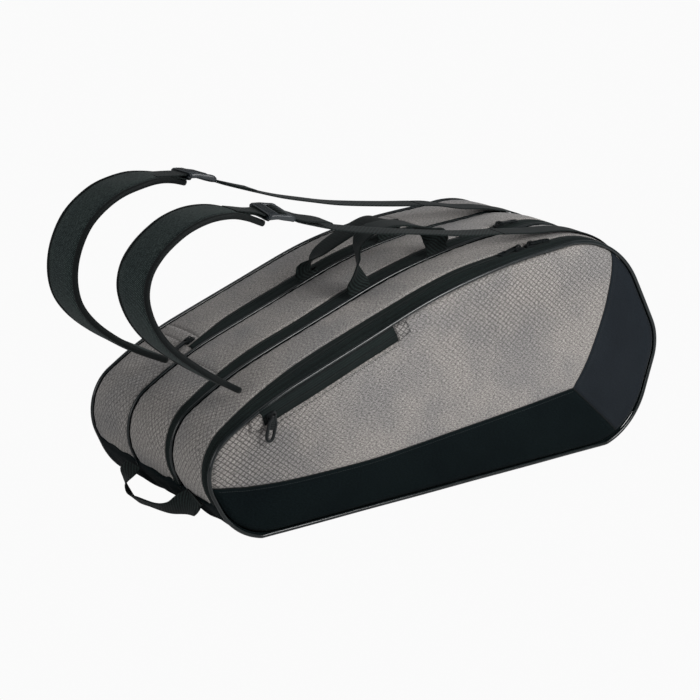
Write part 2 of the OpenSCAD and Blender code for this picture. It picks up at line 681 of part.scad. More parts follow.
module rear_gusset_top() {
    rear_gusset(rear_from, flap_end, zip_rear_end + seam_gap);
}

module rear_gusset_low_end() {
    rear_gusset(low_foot, rear_zip_from, rear_seam_y + seam_edge);
    rear_gusset(rear_zip_from, rear_flap_from, zip_rear_end + seam_gap);
}

module rear_gusset_tall_end() {
    rear_gusset(flap_to, tall_foot, rear_seam_y + seam_edge);
}

module front_divider() {
    divider(front_seam_y);
}

module rear_divider() {
    divider(rear_seam_y);
}

module front_seam_piping() {
    color("#0d1012") skin_cord(low_foot, tall_foot, front_seam_y, piping_r);
}

module rear_seam_piping() {
    color("#0d1012") skin_cord(low_foot, tall_foot, rear_seam_y, piping_r);
}

base_tray();
base_board();
front_gusset();
mid_gusset_top();
mid_gusset_low_end();
mid_gusset_tall_end();
rear_gusset_top();
rear_gusset_low_end();
rear_gusset_tall_end();
front_divider();
rear_divider();
far_panel();
near_panel();
near_lower_panel();
near_end_panel();
near_piping();
far_piping();
front_seam_piping();
rear_seam_piping();
zip_front_tape_near();
zip_front_tape_far();
zip_mid_tape_near();
zip_mid_tape_far();
zip_mid_tape_ends();
zip_rear_tape_near();
zip_rear_tape_far();
zip_rear_tape_end();
zip_front_slider_a();
zip_front_pull_a();
zip_front_slider_b();
zip_front_pull_b();
zip_mid_slider();
zip_mid_pull();
zip_rear_slider();
zip_rear_pull();
pocket_zip_tape();
pocket_corner_patches();
pocket_slider();
pocket_pull();
handle_near();
handle_far();
near_strap_pad();
near_strap_binding();
near_strap_tab();
near_strap_lock();
near_strap_webbing();
near_strap_end();
far_strap_pad();
far_strap_binding();
far_strap_tab();
far_strap_lock();
far_strap_webbing();
far_strap_end();
grab_loop();
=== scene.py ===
import math
from collections import namedtuple

import bmesh
import bpy
import numpy as np
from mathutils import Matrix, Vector, noise


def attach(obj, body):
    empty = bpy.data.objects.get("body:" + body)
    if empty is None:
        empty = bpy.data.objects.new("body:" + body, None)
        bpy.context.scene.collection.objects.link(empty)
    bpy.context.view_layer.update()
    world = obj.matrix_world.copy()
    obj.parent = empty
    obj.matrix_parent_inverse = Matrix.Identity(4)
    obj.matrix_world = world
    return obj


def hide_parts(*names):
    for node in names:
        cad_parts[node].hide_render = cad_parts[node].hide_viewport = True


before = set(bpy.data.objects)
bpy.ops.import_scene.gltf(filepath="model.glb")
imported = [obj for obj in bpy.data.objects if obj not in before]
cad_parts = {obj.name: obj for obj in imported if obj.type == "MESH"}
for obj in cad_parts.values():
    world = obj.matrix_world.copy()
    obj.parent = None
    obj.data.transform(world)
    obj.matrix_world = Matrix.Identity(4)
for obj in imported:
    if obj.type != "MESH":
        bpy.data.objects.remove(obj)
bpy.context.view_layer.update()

# Camera: a long lens from the near low end, a little above the bag.
back = Vector((-0.5659, -0.7657, 0.3058))
target = Vector((-0.0494, 0.0, 0.1686))
distance = 3.3935
bpy.ops.object.camera_add(location=target + back * distance)
camera = bpy.context.object
camera.name = "camera"
camera.rotation_euler = (-back).to_track_quat("-Z", "Y").to_euler()
camera.data.lens = 128.26
camera.data.clip_end = 50
bpy.context.scene.camera = camera
bpy.context.scene.view_settings.view_transform = "Standard"


# Light: dim surroundings, a soft light over the bag's top, one from the camera's left,
# one from its right and a small close one by the near panel's upper end. The backdrop
# and the floor are plain white to the camera, and light and shade the bag as usual.
def area_light(name, place, size, power):
    bpy.ops.object.light_add(type="AREA", location=place)
    light = bpy.context.object
    light.name = name
    light.data.size = size
    light.data.energy = power
    light.rotation_euler = (target - Vector(place)).to_track_quat("-Z", "Y").to_euler()


area_light("light_top", (-0.5, 0.8, 2.6), 1.6, 8)
area_light("light_left", (-2.7, -0.7, 1.2), 1.4, 22)
area_light("light_front", (0.9, -2.2, 1.2), 1.2, 13.5)
area_light("light_near", (0.30, -1.0, 0.78), 0.5, 10)


def put(tree, kind, *values, **settings):
    """One shader node: settings are its properties, values its inputs in order."""
    made = tree.nodes.new(kind)
    for key, value in settings.items():
        setattr(made, key, value)
    for slot, value in enumerate(values):
        if isinstance(value, bpy.types.NodeSocket):
            tree.links.new(value, made.inputs[slot])
        elif value is not None:
            made.inputs[slot].default_value = value
    return made


def white_to_camera(tree, kind, real, white):
    """Output node that shows the camera the white shader, and all other rays the real one."""
    path = put(tree, "ShaderNodeLightPath")
    both = put(tree, "ShaderNodeMixShader", path.outputs["Is Camera Ray"], real.outputs[0], white.outputs[0])
    put(tree, kind, both.outputs[0])


backdrop_white = (0.96, 0.96, 0.96, 1)
world = bpy.data.worlds.new("studio")
bpy.context.scene.world = world
world.use_nodes = True
tree = world.node_tree
tree.nodes.clear()
ambient = put(tree, "ShaderNodeBackground", (0.95, 0.97, 1.0, 1), 0.34)
backdrop = put(tree, "ShaderNodeBackground", backdrop_white, 1.0)
white_to_camera(tree, "ShaderNodeOutputWorld", ambient, backdrop)

bpy.ops.mesh.primitive_plane_add(size=12, location=(0, 0, -0.0015))
floor = bpy.context.object
floor.name = "floor"
floor.data.materials.append(bpy.data.materials.new("floor_white"))
floor.data.materials[0].use_nodes = True
tree = floor.data.materials[0].node_tree
tree.nodes.clear()
matt = put(tree, "ShaderNodeBsdfDiffuse", (0.8, 0.8, 0.8, 1))
glow = put(tree, "ShaderNodeEmission", backdrop_white, 1.0)
white_to_camera(tree, "ShaderNodeOutputMaterial", matt, glow)


# Base tray: black canvas over a stiff board, from one end's foot, under the bag, to the
# other end's foot. The bag's side outline, the way its three compartments swell and the
# look of cloth are laid down here in mm, and every sewn piece below follows them.
corners = ((-332, 0), (-395, 121), (-285, 181), (40, 292), (298, 314), (386, 142), (340, 0))
radii = (100, 58, 600, 930, 132, 75, 100)
half_depth, front_seam, rear_seam = 145.0, -57.0, 47.0
seams = (-half_depth, front_seam, rear_seam, half_depth)
widest_z = 121
swell_height, slump_depth, pinch_depth = 4.5, 8.0, 5.0


def straight(points, end):
    """Points about 5 mm apart, from after the last one to just short of `end`."""
    gap = end - points[-1]
    run = int(np.linalg.norm(gap) / 5)
    return [points[-1] + gap * k / run for k in range(1, run)]


def side_outline():
    """Points of the outline in x and z, and where in them each corner's arc starts and ends."""
    points, marks = [], []
    spots = [np.array(c, float) for c in corners]
    for c, (p, radius) in enumerate(zip(spots, radii)):
        a, b = spots[c - 1], spots[(c + 1) % len(spots)]
        u, w = (a - p) / np.linalg.norm(a - p), (b - p) / np.linalg.norm(b - p)
        reach = radius / math.tan(math.acos(float(u @ w)) / 2)
        mid = p + (u + w) / np.linalg.norm(u + w) * math.hypot(reach, radius)
        start, end = p + u * reach - mid, p + w * reach - mid
        first = math.atan2(start[1], start[0])
        swing = (math.atan2(end[1], end[0]) - first + math.pi) % (2 * math.pi) - math.pi
        steps = max(6, int(abs(swing) * radius / 4))
        if points:
            points += straight(points, p + u * reach)
        marks.append(len(points))
        angles = first + swing * np.linspace(0, 1, steps + 1)
        points += [mid + radius * np.array((math.cos(t), math.sin(t))) for t in angles]
        marks.append(len(points) - 1)
    points += straight(points, points[0])
    return np.array(points), marks


def unit(rows):
    return rows / np.linalg.norm(rows, axis=1)[:, None]


outline, marks = side_outline()
steps = np.linalg.norm(np.roll(outline, -1, 0) - outline, axis=1)
lengths = np.concatenate([[0], np.cumsum(steps)])
total = lengths[-1]
tangent = unit(np.roll(outline, -1, 0) - np.roll(outline, 1, 0))
columns = np.column_stack([outline[:, 0], outline[:, 1], -tangent[:, 1], tangent[:, 0]])
columns = np.vstack([columns, columns[:1]])
low_foot, tall_foot = lengths[marks[1]], lengths[marks[12]]


def on_outline(s):
    """x, z and the outward normal's x and z at arc length s along the outline."""
    s = np.mod(s, total)
    return [np.interp(s, lengths, columns[:, k]) for k in range(4)]


def outward(s):
    _, _, nx, nz = on_outline(s)
    return np.stack([nx, 0 * nx, nz], -1)


def swell(y, z):
    """How far the skin stands out between two seams."""
    bulge = np.zeros_like(y)
    for a, b in zip(seams[:-1], seams[1:]):
        inside = (y >= a) & (y <= b)
        bulge = np.where(inside, swell_height * (1 - ((2 * y - a - b) / (b - a)) ** 2), bulge)
    return bulge * np.minimum(1, z / widest_z)


def skin(s, y, out=0.0):
    """Point of the bag's skin at arc length s along the outline and depth y.

    The far side stands taller, slumps over the tall end and is drawn in at the low one."""
    x, z, nx, nz = on_outline(s)
    y = y + 0 * x
    push = out + swell(y, z)
    taller = np.interp(y, (-half_depth, front_seam, half_depth), (0, 1, 1)) * (0.046 - 0.043 * x / 395)
    over_tall = np.exp(-(((x - 180) / 125) ** 2)) * np.clip((z - 200) / 80, 0, 1)
    slump = slump_depth * np.clip((y - front_seam) / 150, 0, 1) * over_tall
    pinch = pinch_depth * np.clip((y - 47) / 98, 0, 1) * np.clip((-x - 300) / 90, 0, 1)
    return np.stack([x + nx * push + pinch, y, z * (1 + taller) + nz * push - slump], -1)


def skin_spot(s, y, out=0.0):
    return skin(np.array([s]), np.array([float(y)]), out)[0]


def mark_near(x, z):
    """Arc length of the outline's point nearest to (x, z)."""
    return float(lengths[np.argmin(np.hypot(outline[:, 0] - x, outline[:, 1] - z))])


def ripple(points, size, seed):
    """Smooth noise, about -1 to 1, at each point."""
    flat = points.reshape(-1, 3) / size + seed
    return np.array([noise.noise(Vector(p)) for p in flat]).reshape(points.shape[:-1]) * 1.6


def calc(tree, kind, a, b=0.0):
    return put(tree, "ShaderNodeMath", a, b, operation=kind).outputs[0]


def scaled(tree, value, factors):
    return put(tree, "ShaderNodeVectorMath", value, factors, operation="MULTIPLY").outputs[0]


def speckle(tree, flat, x, y, detail=2.0, rough=0.6):
    return put(tree, "ShaderNodeTexNoise", scaled(tree, flat, (x, y, 1)), None, 1.0, detail, rough).outputs[0]


def ramp(tree, value, low, high, out_low=0.0, out_high=1.0):
    made = put(tree, "ShaderNodeMapRange", value, low, high, out_low, out_high)
    made.interpolation_type = "SMOOTHSTEP"
    return made.outputs[0]


def blended(tree, amount, dark, light):
    made = put(tree, "ShaderNodeMix", data_type="RGBA")
    for place, value in ((0, amount), (6, dark), (7, light)):
        if isinstance(value, bpy.types.NodeSocket):
            tree.links.new(value, made.inputs[place])
        else:
            made.inputs[place].default_value = value
    return made.outputs[2]


def tinted(colour, factor=1.0):
    return (*[c * factor for c in colour], 1)


def finished(name, build):
    """New material: build fills its tree and returns colour, roughness, height, bump and depth."""
    mat = bpy.data.materials.new(name)
    mat.use_nodes = True
    tree = mat.node_tree
    body = tree.nodes["Principled BSDF"]
    colour, roughness, height, bump, depth = build(tree)
    tree.links.new(colour, body.inputs["Base Color"])
    tree.links.new(roughness, body.inputs["Roughness"])
    lift = put(tree, "ShaderNodeBump", bump, depth)
    tree.links.new(height, lift.inputs["Height"])
    tree.links.new(lift.outputs[0], body.inputs["Normal"])
    return mat, body


def cloth(name, dark, light, weave=1500, rough=0.85, sheen=0.03, grid=(), ribs=0.0, bump=0.35,
          depth=0.0004, gloss=0.12):
    """Woven cloth, laid out flat in metres: a melange of dark and light threads, with a
    grid of sunk diamond lines where `grid` gives their size, and ribs where they have a pitch."""
    def build(tree):
        flat = put(tree, "ShaderNodeUVMap", uv_map="flat").outputs[0]
        apart = put(tree, "ShaderNodeSeparateXYZ", flat)
        warp = speckle(tree, flat, weave * 0.3, weave)
        weft = speckle(tree, flat, weave, weave * 0.3)
        grain = speckle(tree, flat, weave * 0.5, weave * 0.5, 3.0, 0.7)
        patch = speckle(tree, flat, 9, 9)
        fibre = speckle(tree, flat, weave * 0.2, weave * 0.7)
        threads = calc(tree, "MULTIPLY", calc(tree, "ADD", warp, weft), 0.5)
        mixed = calc(tree, "ADD", calc(tree, "MULTIPLY", threads, 0.35), calc(tree, "MULTIPLY", grain, 0.25))
        mixed = calc(tree, "ADD", mixed, calc(tree, "MULTIPLY", fibre, 0.4))
        height = mixed
        colour = blended(tree, ramp(tree, mixed, 0.41, 0.59), tinted(dark), tinted(light))
        if grid:
            fade = put(tree, "ShaderNodeAttribute", attribute_name="fade").outputs["Fac"]
            across = calc(tree, "MULTIPLY", apart.outputs[0], 1 / grid[0])
            along = calc(tree, "MULTIPLY", apart.outputs[1], 1 / grid[1])
            both_ways = []
            for sign in ("ADD", "SUBTRACT"):
                turn = calc(tree, "PINGPONG", calc(tree, sign, across, along), 0.5)
                both_ways.append(ramp(tree, turn, 0.04, 0.15, 1.0, 0.0))
            lines = calc(tree, "MULTIPLY", calc(tree, "MAXIMUM", *both_ways), fade)
            colour = blended(tree, calc(tree, "MULTIPLY", lines, 0.95), colour, tinted(dark, 0.35))
            height = calc(tree, "SUBTRACT", height, calc(tree, "MULTIPLY", lines, 1.1))
        if ribs:
            slant = calc(tree, "ADD", apart.outputs[0], apart.outputs[1])
            ridge = calc(tree, "PINGPONG", calc(tree, "MULTIPLY", apart.outputs[0], 1 / ribs), 0.5)
            twill = calc(tree, "PINGPONG", calc(tree, "MULTIPLY", slant, 0.5 / ribs), 0.5)
            raised = calc(tree, "ADD", calc(tree, "MULTIPLY", ridge, 0.4), calc(tree, "MULTIPLY", twill, 1.6))
            height = calc(tree, "ADD", height, raised)
            # The ribbed weave, with painted shade: the colour darkens into each groove between the ribs.
            colour = blended(tree, ramp(tree, raised, 0.25, 0.75), tinted(dark, 0.2), colour)
        shade = scaled(tree, colour, (0.78, 0.80, 0.83))
        colour = blended(tree, ramp(tree, patch, 0.34, 0.62, 1.0, 0.0), colour, shade)
        return colour, ramp(tree, mixed, 0.3, 0.7, rough - 0.08, rough + 0.08), height, bump, depth

    mat, body = finished(name, build)
    body.inputs["Sheen Weight"].default_value = sheen
    body.inputs["Specular IOR Level"].default_value = gloss
    return mat


def solid(name, colour, rough, gloss=0.5, metal=0.0):
    """Plastic, vinyl or painted metal with a fine grain, a little lighter and duller where worn."""
    def build(tree):
        where = put(tree, "ShaderNodeTexCoord").outputs["Object"]
        grain = put(tree, "ShaderNodeTexNoise", where, None, 900, 3.0, 0.6).outputs[0]
        worn = put(tree, "ShaderNodeTexNoise", where, None, 60.0, 3.0, 0.6).outputs[0]
        base = blended(tree, ramp(tree, worn, 0.35, 0.7), tinted(colour), tinted(colour, 1.5))
        return base, ramp(tree, worn, 0.3, 0.7, rough, rough + 0.1), grain, 0.25, 0.0002

    mat, body = finished(name, build)
    body.inputs["Metallic"].default_value = metal
    body.inputs["Specular IOR Level"].default_value = gloss
    return mat


def join_bag(name, mesh, mat, body, nodes=()):
    """Puts a mesh into the scene: it rides on its body and stands for its nodes."""
    mesh.materials.append(mat)
    piece = bpy.data.objects.new(name, mesh)
    bpy.context.collection.objects.link(piece)
    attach(piece, body)
    if nodes:
        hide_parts(*nodes)
    return piece


def grid_piece(name, points, flat, mat, body, nodes=(), thick=0.0, closed=False, wrap=False,
               capped=False, facing=None, fade=None):
    """Mesh over a grid of points, laid out flat at `flat`: a sheet with a thickness, a tube
    where the rows are closed, and a ring where the tube is wrapped round too. The outer
    side faces away from the tube's middle, along `facing`, or off the bag."""
    rows, cols = points.shape[:2]
    idx = np.arange(rows * cols).reshape(rows, cols)
    if closed:
        idx = np.hstack([idx, idx[:, :1]])
        flat = np.concatenate([flat, flat[:, -1:] * 2 - flat[:, -2:-1]], 1)
    if wrap:
        idx = np.vstack([idx, idx[:1]])
        flat = np.concatenate([flat, flat[-1:] * 2 - flat[-2:-1]], 0)
    quads = np.stack([idx[:-1, :-1], idx[1:, :-1], idx[1:, 1:], idx[:-1, 1:]], -1).reshape(-1, 4)
    corner = np.stack([flat[:-1, :-1], flat[1:, :-1], flat[1:, 1:], flat[:-1, 1:]], 2)
    corner = corner.reshape(-1, 4, 2) / 1000
    spots = points.reshape(-1, 3)
    a, b, c, d = (spots[quads[:, k]] for k in range(4))
    normals = np.cross(c - a, d - b)
    middle = (a + b + c + d) / 4
    if facing is not None:
        away = np.array(facing, float)
    elif closed:
        away = middle - points.mean(1)[np.minimum(quads[:, 0] // cols, rows - 1)]
    else:
        away = (middle - (0, 0, widest_z)) * (1, 0, 1)
    if np.sum(normals * away) < 0:
        quads, corner = quads[:, ::-1], corner[:, ::-1]
    ends = [list(range(cols))[::-1], list(range((rows - 1) * cols, rows * cols))] if capped else []
    mesh = bpy.data.meshes.new(name)
    mesh.from_pydata((spots / 1000).tolist(), [], quads.tolist() + ends)
    mesh.uv_layers.new(name="flat").data.foreach_set("uv", np.append(corner, np.zeros(len(ends) * cols * 2)))
    if fade is not None:
        mesh.attributes.new("fade", "FLOAT", "POINT").data.foreach_set("value", fade.ravel().astype("f"))
    mesh.polygons.foreach_set("use_smooth", [True] * len(quads) + [False] * len(ends))
    piece = join_bag(name, mesh, mat, body, nodes)
    if thick:
        shell = piece.modifiers.new("thickness", "SOLIDIFY")
        shell.thickness = thick / 1000
        shell.offset = -1
    return piece


canvas = cloth("black_canvas", (0.0010, 0.0027, 0.0031), (0.0048, 0.0088, 0.0098), rough=0.75,
               gloss=0.03, sheen=0.01)
lining = cloth("lining", (0.02, 0.021, 0.022), (0.045, 0.046, 0.048), rough=0.7)
board_grey = solid("board_plastic", (0.05, 0.05, 0.052), 0.6)


def tray_shape(s, base):
    """Folds of the tray's two upturned ends, and its hem along their tops."""
    s = np.mod(s, total)
    edge = np.minimum(np.abs(s - low_foot), np.abs(s - tall_foot))
    ends = np.exp(-((base[..., 2] - 34) / 26) ** 2) * (base[..., 2] > 3)
    folds = ripple(base * (0.35, 1.6, 1), 26, 3.1) * 2.0 * ends
    hem = 0.6 * np.exp(-(edge / 3.0) ** 2) + 0.9 * np.clip(1 - edge / 26, 0, 1)
    return folds * np.minimum(1, edge / 14) + hem + 0.2


def tray_rows():
    """The tray's grid, with a wavy top edge at both ends that climbs on the far side."""
    way_round, across = np.linspace(tall_foot, total + low_foot, 260), np.linspace(-142, 142, 70)
    s, y = np.meshgrid(way_round, across, indexing="ij")
    share = (s - tall_foot) / (total + low_foot - tall_foot)
    wave = 2.6 * np.sin(y / 11 + 1.3 * np.sin(y / 23)) + 1.8 * np.sin(y / 5.3 + 2)
    ends = np.clip((share - 0.9) / 0.1, 0, 1) ** 2 - 0.6 * np.clip((0.1 - share) / 0.1, 0, 1) ** 2
    low = np.clip((share - 0.88) / 0.12, 0, 1) ** 2
    s = s + wave * ends * 0.9 + (2.0 + 12.5 * np.clip((y + 70) / 212, 0, 1)) * low
    points = skin(s, y, tray_shape(s, skin(s, y)))
    points[..., 2] = np.maximum(points[..., 2], 0.05)
    return points, np.stack([s, y], -1)


points, flat = tray_rows()
grid_piece("base_tray_canvas", points, flat, canvas, "shell", ["base_tray"], 3.2)

# The board and the two padded dividers inside are kept from the frame.
for name, mat in (("base_board", board_grey), ("front_divider", lining), ("rear_divider", lining)):
    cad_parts[name].data.materials.clear()
    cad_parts[name].data.materials.append(mat)


# Gussets: padded grey ripstop between the zips and the divider seams. The middle and
# rear ones have a top stretch that lifts with its zip, and two ends that stay put.
grey = cloth("grey_ripstop", (0.100, 0.094, 0.089), (0.375, 0.350, 0.328), weave=1300,
             grid=(0.0092, 0.0074), bump=0.6, depth=0.0006, sheen=0.1)
Band = namedtuple("Band", "near middle far")
front_band = Band(-142.3, -125.5, -109)
mid_band = Band(-54.2, -40.1, -26.6)
rear_band = Band(50.4, 65.3, 77.4)
rear_edge = Band(50.2, 50.2, 50.2)
band_knots = [(low_foot, 0.42), (mark_near(-390, 150), 0.44), (mark_near(-310, 172), 0.66),
              (mark_near(-225, 210), 0.95), (mark_near(-180, 227), 1), (mark_near(230, 310), 1),
              (mark_near(290, 303), 0.8), (mark_near(350, 245), 0.5), (tall_foot, 0.46)]
front_taper = [mark_near(x, z) for x, z in ((40, 292), (120, 299), (180, 304), (235, 309), (290, 303))]
rear_zip_from, flap_end = mark_near(-273, 189), mark_near(109, 302)
mid_from, rear_from = mark_near(-293.5, 180), mark_near(-253.5, 198)


def narrowed(s, band, y):
    """Depth of a line of a zip's band that is drawn in towards its near edge at the bag's ends."""
    share = np.interp(s, *zip(*band_knots))
    if abs(y - band.near) > 20:
        share = share * (0.87 if band == front_band else 0.8)
    if band == front_band:
        share = share * np.interp(s, front_taper, (1, 0.8, 0.74, 0.62, 0.6))
    if band == rear_band:
        stops = (rear_zip_from, rear_zip_from + 70, flap_end - 50, flap_end)
        share = share * np.interp(s, stops, (0.5, 1, 1, 0.6))
    return band.near + (y - band.near) * share


def puckers(s, y, base, a, b):
    """Fabric drawn in along its two sewn edges, with small gathers beside them."""
    edge = np.minimum(np.abs(y - a), np.abs(y - b))
    tuck = -1.3 * np.exp(-(edge / 2.2) ** 2)
    gather = 0.35 * np.sin(s / 3.1 + 1.7 * np.sin(s / 19)) * np.exp(-(edge / 6) ** 2)
    low = np.clip(1 - base[..., 2] / 190, 0, 1) * (base[..., 0] < 0)
    slack = ripple(base, 34, 9.7) * (0.5 + 1.3 * low) * np.minimum(1, edge / 12)
    return tuck + gather + slack + 0.3


def gusset(name, s_from, s_to, band, y_to, body, nodes):
    """Gusset from the far edge of its zip's band to y_to."""
    rows = max(3, int(abs(s_to - s_from) / 7))
    s, t = np.meshgrid(np.linspace(s_from, s_to, rows + 1), np.linspace(0, 1, 27), indexing="ij")
    near_edge = narrowed(s, band, band.far) + 0.4
    y = near_edge * (1 - t) + y_to * t
    base = skin(s, y)
    foot = np.minimum(np.abs(s - low_foot), np.abs(s - tall_foot))
    out = puckers(s, y, base, near_edge, y_to) - 1.6 * np.clip(1 - foot / 22, 0, 1)
    fade = 0.1 + 0.45 * np.clip((-200 - base[..., 0]) / 130, 0, 1)
    grid_piece(name, skin(s, y, out), np.stack([s, y], -1), grey, body, nodes, 3.4, fade=fade)


cut, mid_y, rear_y = 0.4, 43.4, 141.6
gusset("front_gusset_fabric", low_foot, tall_foot, front_band, -60.6, "shell", ["front_gusset"])
gusset("mid_gusset_low", low_foot, mid_from - cut, mid_band, mid_y, "shell", ["mid_gusset_low_end"])
gusset("mid_gusset_flap", mid_from + cut, flap_end - cut, mid_band, mid_y, "mid_flap", ["mid_gusset_top"])
gusset("mid_gusset_tall", flap_end + cut, tall_foot, mid_band, mid_y, "shell", ["mid_gusset_tall_end"])
gusset("rear_gusset_low", low_foot, rear_zip_from, rear_edge, rear_y, "shell", ["rear_gusset_low_end"])
gusset("rear_gusset_low_edge", rear_zip_from, rear_from - cut, rear_band, rear_y, "shell", [])
gusset("rear_gusset_flap", rear_from + cut, flap_end - cut, rear_band, rear_y, "rear_flap",
       ["rear_gusset_top"])
gusset("rear_gusset_tall", flap_end + cut, tall_foot, rear_edge, rear_y, "shell", ["rear_gusset_tall_end"])


# Side panels: quilted over foam, so they swell out of their piped rim. The near one is
# grey above, black below and dark blue at the tall end; the far one is plain black.
navy = cloth("navy_canvas", (0.0035, 0.0054, 0.0078), (0.0100, 0.0142, 0.0190), rough=0.7, gloss=0.1)
bias = cloth("binding_tape", (0.0018, 0.0036, 0.0036), (0.0075, 0.0115, 0.0112), ribs=0.0011, rough=0.6)
near_way = (0, -1, 0)
rim_inset, rim_depth, panel_swell, groove_depth = 3.2, 146.2, 10.6, 1.1
heart = np.array((0.0, widest_z))
around = np.linspace(0, total, 700, endpoint=False)


def rim_at(s, side):
    """Sewn rim of a side panel, a little inside the piping; side is -1 near and 1 far."""
    p = skin(s, side * half_depth + 0 * s, -rim_inset)
    p[..., 2] += 2.7 * (1 - p[..., 2] / 292)
    return p


def rim_share(side):
    """Angle and distance from the panel's heart to its rim, in order of the angle."""
    rim = rim_at(around, side)[:, [0, 2]] - heart
    angle = np.arctan2(rim[:, 1], rim[:, 0])
    order = np.argsort(angle)
    return angle[order], np.linalg.norm(rim, axis=1)[order]


rims = {-1: rim_share(-1), 1: rim_share(1)}


def panel_depth(x, z, side, seam_gap=99.0, seed=1.0):
    """Depth of a side panel's outer face at (x, z), sunk where its seam is near."""
    reach = np.hypot(x, z - heart[1])
    rim = np.interp(np.arctan2(z - heart[1], x), *rims[side], period=2 * math.pi)
    share = np.clip(reach / rim, 0, 1)
    edge = rim - reach
    out = rim_depth + panel_swell * (1 - share**2) - 2.6 * np.exp(-((edge / 4.5) ** 2))
    at = np.stack([x, 0 * x, z], -1)
    out = out + ripple(at, 85, seed) * 0.9 * np.minimum(1, edge / 30)
    out = out + ripple(at * (1, 1, 0.5), 17, seed + 4) * 0.5 * np.exp(-((edge - 12) / 14) ** 2)
    return out - groove_depth * np.exp(-((seam_gap / 1.8) ** 2)) + 0.5 * np.exp(-(((seam_gap - 5) / 3) ** 2))


def run_along(line):
    """Length along a line, at each of its points."""
    return np.concatenate([[0], np.cumsum(np.linalg.norm(np.diff(line, axis=0), axis=1))])


def at_runs(line, run, want):
    """The line's columns at the lengths in want, where run is the length at each point."""
    return np.stack([np.interp(want, run, line[:, k]) for k in range(line.shape[1])], -1)


def even(line, count):
    run = run_along(line)
    return at_runs(line, run, np.linspace(0, run[-1], count))


def smooth_path(points, count):
    """Catmull-Rom curve through points, resampled at even lengths."""
    p = np.array(points, float)
    p = np.vstack([2 * p[0] - p[1], p, 2 * p[-1] - p[-2]])
    fine = []
    for k in range(1, len(p) - 2):
        t = np.linspace(0, 1, 24, endpoint=False)[:, None]
        a, b, c, d = p[k - 1:k + 3]
        square, cube = 2 * a - 5 * b + 4 * c - d, 3 * b - a - 3 * c + d
        fine.append(0.5 * (2 * b + t * (c - a) + t * t * square + t**3 * cube))
    return even(np.vstack(fine + [p[-2:-1]]), count)


def rim_cut(line, s_low, s_high):
    """Where a seam line meets the rim: how many of its points come before, the rim's arc
    length there and the rim's point."""
    s = np.linspace(s_low, s_high, 600)
    rim = rim_at(s, -1)[:, [0, 2]]
    gap = np.linalg.norm(line[:, None] - rim[None], axis=2)
    i, k = np.unravel_index(np.argmin(gap), gap.shape)
    return i, float(s[k]), rim[k]


low_line = [(-372, 84), (-345, 80), (-313, 75.5), (-245, 72), (-132, 73), (-46, 78.5), (15, 84),
            (148, 94.5), (223, 100)]
end_line = [(223, 100), (244, 130), (262, 165), (279, 206), (288, 238), (292, 262), (292, 285), (288, 320)]
toe_line = [(223, 100), (262, 64), (300, 29), (340, -8)]
low_fine, end_fine, toe_fine = (smooth_path(p, 400) for p in (low_line, end_line, toe_line))
i, s_left, left_end = rim_cut(low_fine, low_foot - 40, low_foot + 90)
low_fine = np.vstack([left_end, low_fine[i + 1:]])
i, s_top, top_end = rim_cut(end_fine, mark_near(250, 309), mark_near(335, 255))
end_fine = np.vstack([end_fine[:i], top_end])
i, s_toe, toe_end = rim_cut(toe_fine, tall_foot, tall_foot + 140)
toe_fine = np.vstack([toe_fine[:i], toe_end])


def lens(name, seam, s_from, s_to, mat, node, rows):
    """Panel between a seam line and the stretch of rim from s_from to s_to."""
    rim = rim_at(np.linspace(s_from, s_to, len(seam)), -1)[:, [0, 2]]
    v = np.linspace(0, 1, rows + 1)[:, None, None] ** 1.15
    flat = seam[None] * (1 - v) + rim[None] * v
    gap = np.min(np.linalg.norm(flat[:, :, None] - even(seam, 500)[None, None], axis=3), axis=2)
    x, z = flat[..., 0], flat[..., 1]
    points = np.stack([x, -panel_depth(x, z, -1, gap), z], -1)
    low_end = np.exp(-(((x + 330) / 120) ** 2))
    shoulder = np.exp(-(((x - 130) / 170) ** 2) - ((z - 245) / 75) ** 2)
    fade = 0.18 + 0.72 * np.maximum(low_end, 0.8 * shoulder)
    grid_piece(name, points, flat, mat, "near_cover", [node], 3.0, facing=near_way, fade=fade)


low_seam, end_seam, toe_seam = even(low_fine, 150), even(end_fine, 56)[1:], even(toe_fine, 40)[1:]
toe_up = even(toe_fine[::-1], 40)
lens("near_panel_grey", np.vstack([low_seam, end_seam]), s_left, s_top, grey,
     "near_panel", 46)
lens("near_panel_lower", np.vstack([low_seam, toe_seam]), s_left, s_toe - total, canvas,
     "near_lower_panel", 34)
lens("near_panel_end", np.vstack([toe_up, end_seam]), s_toe, s_top, navy,
     "near_end_panel", 40)


def turns(count):
    return np.linspace(0, 2 * math.pi, count, endpoint=False)


def swept(mid, side, up, across, rise):
    """Section swept along a middle line: it reaches across along side, and rise along up."""
    return mid[:, None] + side[:, None] * across[..., None] + up[:, None] * rise[..., None]


def laid_out(run, across):
    return np.stack(np.broadcast_arrays(run[:, None], across), -1)


def seam_line(name, line):
    """Dark cord of the join between two panels, sunk in its groove."""
    line = even(line, max(8, int(len(line) / 2)))
    mid = np.stack([line[:, 0], -panel_depth(line[:, 0], line[:, 1], -1, 0.0), line[:, 1]], -1)
    inward = np.broadcast_to((0, 1.0, 0), mid.shape)
    side = np.cross(unit(np.gradient(mid, axis=0)), inward)
    turn = turns(8)
    points = swept(mid, side, inward, np.cos(turn), 0.9 * np.sin(turn))
    grid_piece(name, points, laid_out(line[:, 0], turn), bias, "near_cover", closed=True)


seam_line("seam_lower", low_fine)
seam_line("seam_end", end_fine)
seam_line("seam_toe", toe_fine)

